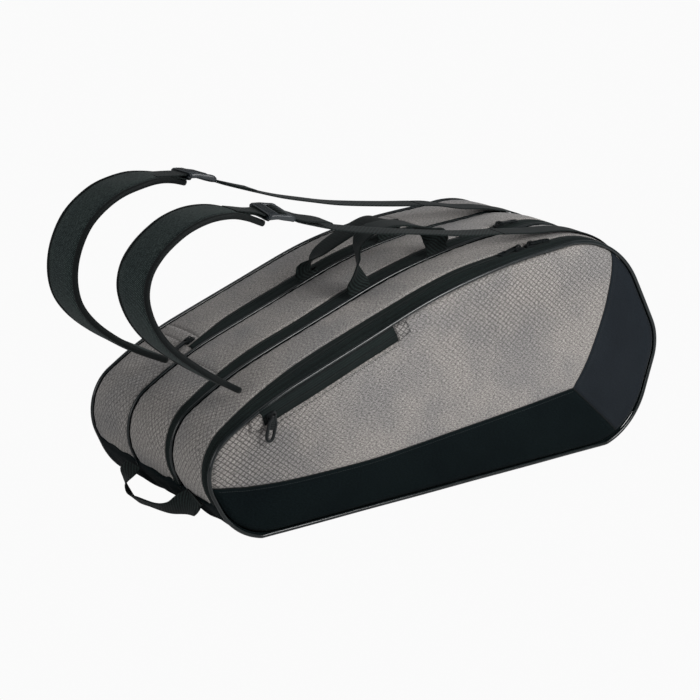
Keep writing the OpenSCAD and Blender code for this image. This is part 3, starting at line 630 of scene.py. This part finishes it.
share, spot = np.meshgrid(np.linspace(1, 0.001, 36), around[::3], indexing="ij")
flat = heart + (rim_at(spot, 1)[..., [0, 2]] - heart) * share[..., None]
points = np.stack([flat[..., 0], panel_depth(flat[..., 0], flat[..., 1], 1, seed=6.0), flat[..., 1]], -1)
grid_piece("far_panel_canvas", points, flat, canvas, "shell", ["far_panel"], 3.0,
           closed=True, facing=(0, 1, 0))


# Piping: glossy vinyl cord, sewn round both side panels and over the two divider seams.
# It runs a little uneven, as sewn piping does.
vinyl = solid("piping_vinyl", (0.0030, 0.0052, 0.0056), 0.17, gloss=0.4)
rim_radius, seam_radius = 2.7, 2.3


def piping(name, s_from, s_to, y, body, node, radius, closed=False):
    s = np.linspace(s_from, s_to, int(abs(s_to - s_from) / 5), endpoint=not closed)
    middle = skin(s, y + 0 * s, 0.35 + 0.25 * np.sin(s / 37))
    middle[:, 1] += 0.25 * np.sin(s / 29 + 1)
    middle[:, 2] = np.maximum(middle[:, 2], radius + 0.05)
    turn = turns(12)
    side = np.broadcast_to((0, 1.0, 0), middle.shape)
    points = swept(middle, side, outward(s), radius * np.cos(turn), radius * np.sin(turn))
    flat = laid_out(s, turn * radius)
    grid_piece(name, points, flat, vinyl, body, [node], closed=True, wrap=closed)


piping("near_piping_cord", 0, total, -half_depth, "near_cover", "near_piping", rim_radius, True)
piping("far_piping_cord", 0, total, half_depth, "shell", "far_piping", rim_radius, True)
piping("front_seam_cord", low_foot, tall_foot, front_seam, "shell", "front_seam_piping", seam_radius)
piping("rear_seam_cord", low_foot, tall_foot, rear_seam, "shell", "rear_seam_piping", seam_radius)


# Zips: reverse coil zips, so the tape's plain side shows. Each half is a ribbed tape
# that turns up along the middle, where the two halves meet over the hidden coil.
tape = cloth("zip_tape", (0.0050, 0.0100, 0.0094), (0.0150, 0.0245, 0.0230), ribs=0.0013, rough=0.75)
plastic = solid("black_plastic", (0.0030, 0.0046, 0.0050), 0.38, gloss=0.22)
low_stops = {front_band: -55, mid_band: -165}
dip_depth, dip_reach, tape_cut = 1.6, 45, 0.3
tape_section = np.array([(0, -0.5), (0.06, 0.1), (0.5, 0.25), (0.76, 0.35), (0.8, 0.75), (0.9, 1.1),
                         (0.97, 0.95), (1, 0.3), (1.0, -0.9)])


def dip(s, band):
    """How far a zip's tapes sink round its slider's low stop, so that the slider clears them."""
    if band not in low_stops:
        return 0
    return dip_depth * np.exp(-(((on_outline(s)[0] - low_stops[band]) / dip_reach) ** 2))


def half_tape(name, s_from, s_to, band, y_edge, body, nodes):
    rows = max(3, int(abs(s_to - s_from) / 6))
    s, k = np.meshgrid(np.linspace(s_from, s_to, rows + 1), np.arange(len(tape_section)), indexing="ij")
    share, rise = tape_section[k, 0], tape_section[k, 1]
    edge, middle = narrowed(s, band, y_edge), narrowed(s, band, band.middle)
    y = edge + share * (middle - edge - 0.35 * np.sign(band.middle - y_edge))
    points = skin(s, y, 0.2 - dip(s, band) + rise + 0.15 * np.sin(s / 23 + y_edge))
    grid_piece(name, points, np.stack([s, y], -1), tape, body, nodes, 1.0)


def tape_line(name, s_from, s_to, band, y, body):
    """Dark line along a tape: where two halves meet, or a row of its stitching."""
    s, k = np.meshgrid(np.arange(s_from, s_to, 5.0), np.arange(3), indexing="ij")
    points = skin(s, narrowed(s, band, y) + (k - 1) * 0.6, np.where(k == 1, 1.35, 0.9) - dip(s, band))
    grid_piece(name, points, np.stack([s, k], -1), bias, body)


def repeated(block, spots, count):
    """Faces of a small block that has so many points, for each of count blocks."""
    return [[spots * k + q for q in face] for k in range(count) for face in block]


def coil(name, s_from, s_to, band, body):
    """Turns of the zip's coil under the tape's edges, seen where the zip is open."""
    pitch = 1.5
    s = s_from + np.arange(int((s_to - s_from) / pitch)) * pitch
    mid, up = skin(s, narrowed(s, band, band.middle - 1.5), -1.0), outward(s)
    along = np.cross((0, 1, 0), up)
    section = ((-0.5, -0.7), (0.5, -0.7), (0.5, 0.5), (-0.5, 0.5))
    wires = np.stack([mid + along * a + up * b + np.array((0, side * 1.1, 0))
                      for a, b in section for side in (-1, 1)], 1)
    block = ((0, 1, 3, 2), (2, 3, 5, 4), (4, 5, 7, 6), (6, 7, 1, 0), (0, 2, 4, 6), (7, 5, 3, 1))
    mesh = bpy.data.meshes.new(name)
    mesh.from_pydata((wires.reshape(-1, 3) / 1000).tolist(), [], repeated(block, 8, len(s)))
    join_bag(name, mesh, plastic, body)


mid_low_end, rear_low_end = mid_from - tape_cut, rear_from - tape_cut
mid_top, rear_top, flap_tape_end = mid_from + tape_cut, rear_from + tape_cut, flap_end - tape_cut
rear_start = rear_zip_from + 0.4
front, mid, rear = front_band, mid_band, rear_band
half_tape("zip_front_tape_a", low_foot, tall_foot, front, front.near, "near_cover", ["zip_front_tape_near"])
half_tape("zip_front_tape_b", low_foot, tall_foot, front, front.far, "shell", ["zip_front_tape_far"])
half_tape("zip_mid_tape_a", low_foot, tall_foot, mid, mid.near, "shell", ["zip_mid_tape_near"])
half_tape("zip_mid_tape_b_low", low_foot, mid_low_end, mid, mid.far, "shell", ["zip_mid_tape_ends"])
half_tape("zip_mid_tape_b", mid_top, flap_tape_end, mid, mid.far, "mid_flap", ["zip_mid_tape_far"])
half_tape("zip_mid_tape_b_tall", flap_end + tape_cut, tall_foot, mid, mid.far, "shell", [])
half_tape("zip_rear_tape_a", rear_start, flap_end, rear, rear.near, "shell", ["zip_rear_tape_near"])
half_tape("zip_rear_tape_b_low", rear_start, rear_low_end, rear, rear.far, "shell", ["zip_rear_tape_end"])
half_tape("zip_rear_tape_b", rear_top, flap_tape_end, rear, rear.far, "rear_flap", ["zip_rear_tape_far"])
tape_line("zip_front_line", low_foot, tall_foot, front, front.middle - 0.5, "near_cover")
tape_line("zip_front_stitch_line", low_foot, tall_foot, front, -133.5, "near_cover")
tape_line("zip_mid_line", low_foot, tall_foot, mid, mid.middle - 0.5, "shell")
tape_line("zip_rear_line", rear_zip_from, flap_end, rear, rear.middle - 0.5, "shell")
coil("zip_front_coil", low_foot + 2, tall_foot - 2, front, "near_cover")
coil("zip_mid_coil", low_foot + 2, tall_foot - 2, mid, "shell")
coil("zip_rear_coil", rear_zip_from + 2, flap_end - 2, rear, "shell")


# Sliders and pulls: die-cast sliders in dark paint and moulded pulls, kept from the
# frame with their edges rounded. Only the pocket's pull, further down, is made anew.
slider_paint = solid("slider_paint", (0.0045, 0.0060, 0.0065), 0.34, metal=0.3, gloss=0.4)


def hard_part(name, mat, width):
    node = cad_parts[name]
    node.data.materials.clear()
    node.data.materials.append(mat)
    round_off = node.modifiers.new("rounded", "BEVEL")
    round_off.width = width / 1000
    round_off.segments = 3
    round_off.limit_method = "ANGLE"
    round_off.angle_limit = math.radians(35)
    round_off.harden_normals = True


for name in ("zip_front_slider_a", "zip_front_slider_b", "zip_mid_slider", "zip_rear_slider",
             "pocket_slider"):
    hard_part(name, slider_paint, 0.45)
for name in ("zip_front_pull_a", "zip_front_pull_b", "zip_mid_pull", "zip_rear_pull"):
    hard_part(name, plastic, 0.35)


# Pocket: a slanted zip let into the grey panel under the front zip, with a grey welt
# along its lower side and a four-cornered patch sewn over each of its ends.
pocket_a, pocket_b = np.array((-296.0, 162.0)), np.array((-84.0, 235.0))
pocket_len = float(np.linalg.norm(pocket_b - pocket_a))
pocket_dir = (pocket_b - pocket_a) / pocket_len
pocket_up = np.array((-pocket_dir[1], pocket_dir[0]))


def on_panel(flat, lift):
    depth = panel_depth(flat[..., 0], flat[..., 1], -1) + lift
    return np.stack([flat[..., 0], -depth, flat[..., 1]], -1)


def pocket_band(name, u_from, u_to, section, mat, nodes=()):
    """Band along the pocket: its section gives places across it and lifts off the panel."""
    v, lift = np.array(section).T
    u, k = np.meshgrid(np.linspace(u_from, u_to, 90), np.arange(len(v)), indexing="ij")
    flat = pocket_a + u[..., None] * pocket_dir + v[k][..., None] * pocket_up
    grid_piece(name, on_panel(flat, lift[k]), np.stack([u, v[k]], -1), mat, "near_cover", nodes, 0.5,
               facing=near_way, fade=np.full(u.shape, 0.5))


tape_rises = [(-10.4, 0.2), (-9.8, 1.0), (-1.2, 1.4), (-0.8, 2.0), (0.8, 2.0), (1.2, 1.5), (8.0, 1.6),
              (11.0, 2.0), (13.4, 2.2)]
welt_rises = [(-13.6, -0.2), (-12.6, 0.8), (-11.2, 2.5), (-10.2, 2.7), (-9.4, 1.9), (-9.5, 0.9)]
# Painted shadow: the third band is a dark strip of binding cloth along the tape's upper side, under the
# piping, standing for the shade the piping casts there.
shadow_strip_rises = [(9.8, 2.1), (10.8, 2.6), (11.8, 2.1)]
line_rises = [(-0.6, 2.05), (0, 2.4), (0.6, 2.05)]
pocket_band("pocket_tape", 0, pocket_len, tape_rises, tape, ["pocket_zip_tape"])
pocket_band("pocket_line", 0, pocket_len, line_rises, bias)
# Painted shadow strip under the piping.
pocket_band("pocket_painted_shadow", 0, pocket_len, shadow_strip_rises, bias)
pocket_band("pocket_welt", -4, pocket_len + 4, welt_rises, grey)


def patch(name, corners, nodes=()):
    a, b, c, d = (np.array(p, float) for p in corners)
    u, v = np.meshgrid(np.linspace(0, 1, 12), np.linspace(0, 1, 12), indexing="ij")
    u, v = u[..., None], v[..., None]
    flat = a * (1 - u) * (1 - v) + b * u * (1 - v) + c * u * v + d * (1 - u) * v
    edge = np.minimum.reduce([u, v, 1 - u, 1 - v])[..., 0]
    lift = 2.6 - 1.8 * np.exp(-((edge / 0.06) ** 2)) - 0.7 * np.exp(-(((edge - 0.18) / 0.05) ** 2))
    grid_piece(name, on_panel(flat, lift), flat, grey, "near_cover", nodes, 0.6,
               facing=near_way, fade=np.full(edge.shape, 0.8))


low_patch = ((-315, 161), (-317, 147), (-291, 149), (-298, 171))
tall_patch = ((-89, 246), (-66, 251), (-61, 235), (-81, 224))
patch("pocket_patch_low", low_patch, ["pocket_corner_patches"])
patch("pocket_patch_tall", tall_patch)


# Handles and grab loop: polyester webbing, sewn by its feet into the two divider seams
# and into the tray at the low end. Each is a flat section swept along a smooth path,
# whose rows give a place, half the width and the way that the width points.
strap = cloth("webbing", (0.0045, 0.0082, 0.0078), (0.0160, 0.0250, 0.0235), ribs=0.0030, rough=0.72,
              bump=0.6)
handle_thick, strap_thick = 2.6, 1.8


def ribbon_frames(rows, step):
    """Middle line, width and upward ways, half width and run of a path, smooth and even."""
    rough = smooth_path(rows, 400)
    run = run_along(rough[:, :3])
    want = np.linspace(0, run[-1], max(8, int(run[-1] / step)))
    p = at_runs(rough, run, want)
    along = unit(np.gradient(p[:, :3], axis=0))
    wide = unit(p[:, 4:7] - along * np.sum(p[:, 4:7] * along, axis=1)[:, None])
    return p[:, :3], wide, np.cross(along, wide), p[:, 3], want


def ribbon(name, rows, thick, body, node, step=3.0):
    mid, wide, up, half, run = ribbon_frames(rows, step)
    top = np.array([(-1, 0), (-0.97, 0.36), (-0.85, 0.5), (-0.5, 0.46), (0, 0.44), (0.5, 0.46), (0.85, 0.5),
                    (0.97, 0.36)])
    across, rise = np.vstack([top, -top]).T
    points = swept(mid, wide, up, across * half[:, None], rise * thick)
    flat = laid_out(run, across * half.mean() + np.sign(rise) * 40)
    grid_piece(name, points, flat, strap, body, [node], closed=True, capped=True)


def foot(x, y, side, up):
    """Row of a handle's foot on a divider seam at x, up mm above it and wide along it."""
    s = mark_near(x, 295 if x > 0 else 262)
    for _ in range(3):
        p = skin_spot(s, y)
        s += x - p[0]
    way = skin_spot(s + 1.0, y) - p
    way = way / np.linalg.norm(way)
    return (*(p + np.array((-way[2], 0, way[0])) * (up + 3.5)), 18, *(side * way))


near_handle = [foot(-74, -57, 1, 0), foot(-74, -57, 1, 5), foot(-74, -57, 1, 11),
               (-80, -57, 300, 17, 0.74, 0.66, -0.1), (-78, -56, 315, 17, 0.46, 0.88, 0),
               (-76, -54, 331, 17, 0.38, 0.92, 0), (-58, -49, 348, 18, 0, 1, 0), (-24, -47, 352, 18, 0, 1, 0),
               (14, -48, 346, 18, 0, 1, 0), (38, -52, 335, 18, -0.5, 1, 0), (51, -56, 324, 18, -0.9, 0.6, 0),
               foot(55, -57, -1, 10), foot(55, -57, -1, 4), foot(55, -57, -1, 0)]
far_handle = [foot(-84, 47, 1, 0), foot(-84, 47, 1, 5), foot(-84, 47, 1, 11),
              (-80, 47, 289, 18, 0.8, 0.6, 0.2), (-62, 47, 302, 18, 0.2, 1, 0), (-36, 47, 314, 18, 0, 1, 0),
              (-8, 47, 324, 18, 0, 1, 0), (18, 47, 331, 18, 0, 1, 0), (38, 47, 329, 18, -0.2, 1, 0),
              (50, 47, 319, 18, -0.9, 0.6, 0), foot(51, 47, -1, 10), foot(51, 47, -1, 4), foot(51, 47, -1, 0)]
grab = [(-366.6, 50, 58, 18, 0, 1, 0), (-376, 50, 50, 18, 0, 1, 0), (-381, 47, 34, 17, 0.6, 0.9, -0.4),
        (-379, 35, 20, 15, 0.74, 0.3, -0.66), (-375, 10, 19, 14, 0.76, 0, -0.65),
        (-371, -25, 21, 14, 0.76, 0, -0.65), (-369.5, -52, 29, 14, 0.72, -0.3, -0.62),
        (-368.5, -76, 41, 17, 0.3, -0.9, -0.25), (-367, -92, 50, 18, 0, -1, 0), (-366, -96, 58, 18, 0, -1, 0)]
ribbon("handle_near_webbing", near_handle, handle_thick, "near_handle", "handle_near")
ribbon("handle_far_webbing", far_handle, handle_thick, "far_handle", "handle_far")
ribbon("grab_loop_webbing", grab, handle_thick, "grab_loop", "grab_loop")


# Shoulder straps: narrow webbing from the tall end to the buckle, over and under its
# bars and back out, and a short tab that holds the buckle on the pad. A buckle's numbers
# are its place, its own tilt, the slopes before and after it, and its roll.
near_lock, far_lock = (-248, -104, 414, 6, 20, 22, 9), (-266, 48, 435, 9, 13, 21, -2)
strap_half = 17


def by_lock(lock, u, n, v=0.0):
    """Row at u along the strap from the buckle's middle, n off it and v across it. The
    buckle lies flatter than the webbing on either side of it."""
    x, y, z, tilt, rise, fall, roll = lock
    inside = np.clip(u, -21, 24)
    bend = math.radians(np.interp(u, (-32, -21, 24, 36), (rise, tilt, tilt, fall)))
    turn = math.radians(roll * np.interp(u, (-25, -20, 34, 96), (0, 1, 1, 0)))
    flat, steep = math.radians(tilt), math.radians(rise if u < 0 else fall)
    along = np.array((math.cos(flat), 0, -math.sin(flat))) * inside
    along = along + np.array((math.cos(steep), 0, -math.sin(steep))) * (u - inside)
    off = np.array((math.sin(bend), 0, math.cos(bend)))
    wide = np.array((0, math.cos(turn), 0)) + off * math.sin(turn)
    up = off * math.cos(turn) - np.array((0, math.sin(turn), 0))
    return (*(np.array((x, y, z)) + along + up * n + wide * v), strap_half, *wide)


def level(y, path, lean=0.0):
    return [(x, y, z, strap_half, 0, 1, lean) for x, z in path]


through = [(50, -5.6), (35, -5.8), (25, -5.7), (19, -5.5), (14, -4.7), (9, -3.8), (5.6, -2.9), (3.6, -0.4),
           (4.2, 2.8), (8, 4.6), (11.6, 2.8), (13.0, 0), (14.6, -2.2), (18, -3.2), (24, -3.3)]
near_tail = [(35, -3.0), (50, -2.2), (74, 1.8), (86, 2.8)]
far_tail = [(35, -3.5), (50, -3.6), (74, -2.8), (94, -1.8)]
tab_turn = [(-21, 2.8), (-17, 3.4), (-14.5, 2.4), (-13.5, 0), (-14.5, -2.4), (-17, -3.4)]
near_tab = [(-66, -2.4), (-50, -0.4), (-35, 1.4), *tab_turn, (-35, -1.4), (-50, -2.8), (-66, -4.6)]
far_tab = [(-66, -3.0), (-50, -1.2), (-35, 0.8), *tab_turn, (-35, -2.0), (-50, -3.6), (-66, -5.4)]
near_run = level(-104, [(118, 331), (54, 339), (-32, 355)])
near_run += level(-104, [(-96, 367), (-144, 378), (-172, 386)], 0.07)
far_run = level(47, [(98, 342), (36, 351), (-40, 364), (-90, 376), (-135, 388), (-180, 403)])
near_rows = near_run + [by_lock(near_lock, *q) for q in through + near_tail]
far_rows = far_run + [by_lock(far_lock, *q) for q in through + far_tail]
near_tab_rows = [by_lock(near_lock, *q) for q in near_tab]
far_tab_rows = [by_lock(far_lock, *q) for q in far_tab]
ribbon("near_strap_web", near_rows, strap_thick, "near_strap", "near_strap_webbing", 1.6)
ribbon("far_strap_web", far_rows, strap_thick, "far_strap", "far_strap_webbing", 1.6)
ribbon("near_strap_tab_web", near_tab_rows, strap_thick, "near_strap", "near_strap_tab", 1.2)
ribbon("far_strap_tab_web", far_tab_rows, strap_thick, "far_strap", "far_strap_tab", 1.2)


# Pocket pull: a loop moulded in one piece, a ribbed neck that hangs from the slider's
# bridge and a long eye below it.
def squarish(wave, power):
    """A circle's cosine or sine, drawn out towards a square's."""
    return np.sign(wave) * np.abs(wave) ** power


def bar(points, spans, count=14):
    """Rounded bar, lofted through rings of half sizes a and b along its middle line."""
    mid, side, up = (np.array(k) for k in zip(*points))
    a, b = np.array(spans).T[..., None]
    turn = turns(count)
    return swept(mid, side, up, squarish(np.cos(turn), 0.55) * a, squarish(np.sin(turn), 0.55) * b)


def moulded(name, parts, body, node, mat):
    """One moulded piece of several rounded bars."""
    verts, faces = [], []
    for rings in parts:
        start, (rows, ring) = len(verts), rings.shape[:2]
        verts += rings.reshape(-1, 3).tolist()
        for r in range(rows - 1):
            a, b = start + r * ring, start + (r + 1) * ring
            faces += [[a + c, b + c, b + (c + 1) % ring, a + (c + 1) % ring] for c in range(ring)]
        faces += [list(range(start, start + ring))[::-1], list(range(len(verts) - ring, len(verts)))]
    mesh = bpy.data.meshes.new(name)
    mesh.from_pydata((np.array(verts) / 1000).tolist(), [], faces)
    made = bmesh.new()
    made.from_mesh(mesh)
    bmesh.ops.recalc_face_normals(made, faces=made.faces)
    made.to_mesh(mesh)
    made.free()
    mesh.polygons.foreach_set("use_smooth", [len(f) == 4 for f in faces])
    join_bag(name, mesh, mat, body, [node])


def loop_pull(name, node, lean):
    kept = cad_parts[node]
    box = np.array([kept.matrix_world @ Vector(c) for c in kept.bound_box]) * 1000
    low, high = box.min(0), box.max(0)
    top = np.array(((low[0] + high[0]) / 2, (low[1] + high[1]) / 2, high[2] - 1))
    down, thick_way = np.array((-math.sin(lean), 0, -math.cos(lean))), np.array((0, 1.0, 0))
    across = np.cross(down, thick_way)

    def at(u, v):
        return top + down * u + across * v

    sides = [(1, 1.6), (4, 2.2), (7, 3.7), (10, 5.0), (20, 5.3), (28, 5.1), (31.5, 4.0), (33.4, 2.0), (34, 0)]
    eye = smooth_path([at(u, v) for u, v in sides] + [at(u, -v) for u, v in sides[-2::-1]], 60)
    along = unit(np.gradient(eye, axis=0))
    parts = [bar([(p, np.cross(a, thick_way), thick_way) for p, a in zip(eye, along)], [(2.0, 1.7)] * 60, 12)]
    necks = np.linspace(2, 19, 12)
    half_widths = np.interp(necks, (2, 8, 12, 19), (1.8, 3.4, 4.6, 4.6))
    parts.append(bar([(at(u, 0), across, thick_way) for u in necks], [(w, 1.1) for w in half_widths], 12))
    for u in (10, 13, 16):
        rib = [(at(u, v) - thick_way * 1.2, across, thick_way) for v in np.linspace(-3, 3, 5)]
        parts.append(bar(rib, [(0.5, 0.6)] * 5, 8))
    moulded(name, parts, node, node, plastic)


loop_pull("pocket_pull_loop", "pocket_pull", 0.24)


# Buckles: moulded ladder locks, each of two curved side rails joined by three cross
# bars and a broad ribbed thumb plate. The webbing above runs through them.
lock_plastic = solid("lock_plastic", (0.0075, 0.0112, 0.0140), 0.3, gloss=0.5)
rail_v = 21.0
cross_bars = ((-17.5, 2.0, 1.7, 0.0), (8, 2.1, 1.9, 0.2), (19.0, 3.3, 1.7, -0.6), (-11.5, 8.0, 1.2, 5.4))


def ladder_lock(name, lock, body, node):
    def at(u, n, v):
        return np.array(by_lock(lock, u, n, v)[:3])

    along, up, wide = (at(*q) - at(0, 0, 0) for q in ((1, 0, 0), (0, 1, 0), (0, 0, 1)))
    us = np.linspace(-20, 21.5, 15)
    tip = np.minimum(1, np.minimum(us + 21.2, 22.7 - us) / 3.5) ** 0.5
    lift = np.interp(us, (-20, -6, 4, 14, 21.5), (2.6, 3.0, 1.4, 0.2, -2.0))
    spans = [(2.6 * t, (4.2 - abs(h) * 0.3) * t) for t, h in zip(tip, lift)]
    parts = [bar([(at(u, h, side * rail_v), wide, up) for u, h in zip(us, lift)], spans) for side in (-1, 1)]
    for u, a, b, n in cross_bars:
        parts.append(bar([(at(u, n, v), along, up) for v in np.linspace(-20.5, 20.5, 9)], [(a, b)] * 9))
    for k in range(4):
        rib = [(at(-15.5 + 2.7 * k, 6.7, v), along, up) for v in np.linspace(-17.5, 17.5, 7)]
        parts.append(bar(rib, [(0.7, 0.6)] * 7, 8))
    moulded(name, parts, body, node, lock_plastic)


ladder_lock("near_strap_buckle", near_lock, "near_strap", "near_strap_lock")
ladder_lock("far_strap_buckle", far_lock, "far_strap", "far_strap_lock")


# Strap ends: the straps' webbing lies down on the gussets' tall shoulder, where it is
# sewn to the shell.
def strap_end(name, y, start, lifts, node):
    rows = level(y, start)
    for k, lift in enumerate(lifts):
        x, _, z = skin_spot(mark_near(207, 311) + 21 * k, y, lift)
        rows += level(y, [(x, z)])
    ribbon(name, rows, strap_thick, "shell", node)


near_start, far_start = [(120.5, 330.6), (140, 328), (172, 323.5)], [(100.5, 341.6), (126, 337.5), (168, 327)]
strap_end("near_strap_end_web", -104, near_start, (6, 3.4, 2, 1.5, 1.5, 1.4), "near_strap_end")
strap_end("far_strap_end_web", 47, far_start, (12, 7, 4.8, 4.5, 4.5, 4.5), "far_strap_end")


# Strap pads: foam under black mesh, curved over the shoulder, pinched at the sewn tip
# and bound all round with tape. Their rows give a place and half the width.
mesh_pad = cloth("pad_mesh", (0.0110, 0.0200, 0.0190), (0.0640, 0.0860, 0.0810), weave=900, ribs=0.0014,
                 bump=0.6)
pad_half_thick, binding_high, binding_wide = 4.8, 4.2, 2.9


def pad_piece(prefix, rows, body, nodes):
    """Pad and binding; gives back the pad's middle line, ways and half width."""
    mid, wide, up, half, run = ribbon_frames([(*r, 0, 1, 0) for r in rows], 5.0)
    half = np.maximum(half - 1.5, 3)
    plump = pad_half_thick * np.minimum(1, half / 22) ** 0.4
    turn = turns(36)
    across = squarish(np.cos(turn), 0.6) * half[:, None]
    rise = squarish(np.sin(turn), 0.9) * plump[:, None]
    points = swept(mid, wide, up, across, rise)
    bump = ripple(points, 30, 2.2 + mid[0, 1] / 50) * 0.6
    points = points + up[:, None] * (bump * np.sign(rise))[..., None]
    flat = laid_out(run, across + np.sign(rise) * 60)
    pad = grid_piece(prefix + "_pad_mesh", points, flat, mesh_pad, body, [nodes[0]],
                     closed=True, capped=True)
    edge = np.vstack([mid + wide * half[:, None], (mid - wide * half[:, None])[::-1]])
    ups = np.vstack([up, up[::-1]])
    out = unit(np.cross(ups, unit(np.roll(edge, -1, 0) - np.roll(edge, 1, 0))))
    ring = turns(12)
    tube = swept(edge, ups, out, binding_high * np.cos(ring), binding_wide * np.sin(ring))
    flat = laid_out(run_along(edge), ring * 2.4)
    grid_piece(prefix + "_binding_tape", tube, flat, bias, body, [nodes[1]], closed=True,
               wrap=True)
    return mid, wide, up, half


near_pad = [(-305, -104, 192, 8), (-331, -104, 208, 19), (-362, -104, 228, 33), (-400, -104, 257, 33),
            (-424, -104, 280, 33), (-441, -104, 304, 33), (-451, -104, 328, 33), (-454, -104, 351, 33),
            (-448, -104, 374, 33), (-434, -104, 393, 33), (-414, -104, 409, 33), (-389, -104, 422, 33),
            (-358, -104, 429, 32), (-325, -104, 427.5, 28), (-295, -104, 418, 19), (-267, -104, 405, 9)]
far_pad = [(-313, 56, 192, 8), (-340, 55, 206, 19), (-373, 54, 224, 33), (-406, 54, 246, 33),
           (-435, 53, 271, 33), (-454, 53, 297, 33), (-462, 52, 324, 33), (-461, 52, 352, 33),
           (-453, 51, 379, 33), (-438, 51, 403, 33), (-416, 50, 422, 33), (-389, 50, 435, 33),
           (-354, 49, 442, 31), (-329, 49, 441.5, 24), (-306, 49, 437, 17), (-283, 49, 429, 8)]
near_frames = pad_piece("near", near_pad, "near_strap", ("near_strap_pad", "near_strap_binding"))
far_frames = pad_piece("far", far_pad, "far_strap", ("far_strap_pad", "far_strap_binding"))


# Stitching: rows of short threads, black and grey, beside the zips and panel seams,
# round the pocket's patches and along both faces of the pads.
thread_black = cloth("thread_black", (0.006, 0.009, 0.009), (0.02, 0.026, 0.026), rough=0.6)
thread_grey = cloth("thread_grey", (0.30, 0.28, 0.26), (0.60, 0.57, 0.53), rough=0.7)
pitch, thread_length, thread_width, thread_height = 3.6, 2.6, 0.85, 0.6


def stitches(name, line, normal, mat, body):
    run = run_along(line)
    at = (np.arange(int(run[-1] / pitch)) + 0.5) * pitch
    mid, up = at_runs(line, run, at), at_runs(normal, run, at)
    fore = unit(at_runs(line, run, at + 0.5) - at_runs(line, run, at - 0.5))
    side = unit(np.cross(up, fore))
    ahead, across, above = fore * thread_length / 2, side * thread_width / 2, up * thread_height
    shape = [(-1, 0, -0.3), (-0.7, -1, 0), (-0.7, 1, 0), (-0.6, 0, 0.9), (0.6, 0, 0.9), (0.7, -1, 0),
             (0.7, 1, 0), (1, 0, -0.3)]
    points = np.stack([mid + ahead * a + across * b + above * c for a, b, c in shape], 1)
    block = ((0, 1, 3), (0, 3, 2), (1, 5, 4, 3), (3, 4, 6, 2), (4, 5, 7), (4, 7, 6))
    faces = repeated(block, 8, len(at))
    mesh = bpy.data.meshes.new(name)
    mesh.from_pydata((points.reshape(-1, 3) / 1000).tolist(), [], faces)
    mesh.uv_layers.new(name="flat")
    mesh.polygons.foreach_set("use_smooth", [True] * len(faces))
    join_bag(name, mesh, mat, body)


def gusset_stitches(name, s_from, s_to, band, body):
    """Grey row on a gusset, just past its zip's far edge."""
    s = np.arange(s_from, s_to, 3.0)
    line = skin(s, narrowed(s, band, band.far) + 2.2, 0.35)
    stitches(name, line, outward(s), thread_grey, body)


def tape_stitches(name, y, body):
    s = np.arange(low_foot + 4, tall_foot - 4, 3.0)
    stitches(name, skin(s, narrowed(s, front_band, y), 0.5), outward(s), thread_black, body)


gusset_stitches("stitch_front_gusset", low_foot + 4, tall_foot - 4, front_band, "shell")
gusset_stitches("stitch_mid_low", low_foot + 4, mid_from - 2, mid_band, "shell")
gusset_stitches("stitch_mid_flap", mid_from + 2, flap_end - 2, mid_band, "mid_flap")
gusset_stitches("stitch_mid_tall", flap_end + 2, tall_foot - 4, mid_band, "shell")
gusset_stitches("stitch_rear_flap", rear_from + 2, flap_end - 2, rear_band, "rear_flap")
tape_stitches("stitch_zip_front_a", -137.5, "near_cover")
tape_stitches("stitch_zip_front_b", -113, "shell")


def panel_stitches(name, line, offset=0, lift=0.45):
    """Black row on the near panel, offset to one side of an even line."""
    fore = unit(np.gradient(line, axis=0))
    points = on_panel(line + np.stack([-fore[:, 1], fore[:, 0]], -1) * offset, lift)
    stitches(name, points, np.tile(near_way, (len(points), 1)), thread_black, "near_cover")


low_row, end_row = low_fine[6:], end_fine[6:-8]
pocket_foot = np.array([pocket_a, pocket_b]) - pocket_up * 15.5
panel_stitches("stitch_lower_panel", even(low_row, len(low_row)), -4.5)
panel_stitches("stitch_end_panel", even(end_row, len(end_row)), -4.5)
panel_stitches("stitch_pocket_lower", even(pocket_foot, 60))
for name, ends in (("low", low_patch), ("tall", tall_patch)):
    ring = np.array([*ends, ends[0]], float)
    ring = ring.mean(0) + (ring - ring.mean(0)) * 0.82
    panel_stitches("stitch_patch_" + name, even(ring, 60), lift=3.0)


def pad_stitches(prefix, frames, body):
    mid, wide, up, half = frames
    inset = np.maximum(half - 5.5, 1.5)
    for tag, side in (("near", -1), ("far", 1)):
        for face, way in (("out", 1), ("in", -1)):
            line = mid + wide * (side * inset)[:, None] + up * way * 3.4
            name = f"stitch_{prefix}_{tag}_{face}"
            stitches(name, line[3:-3], up[3:-3] * way, thread_black, body)


pad_stitches("near_pad", near_frames, "near_strap")
pad_stitches("far_pad", far_frames, "far_strap")
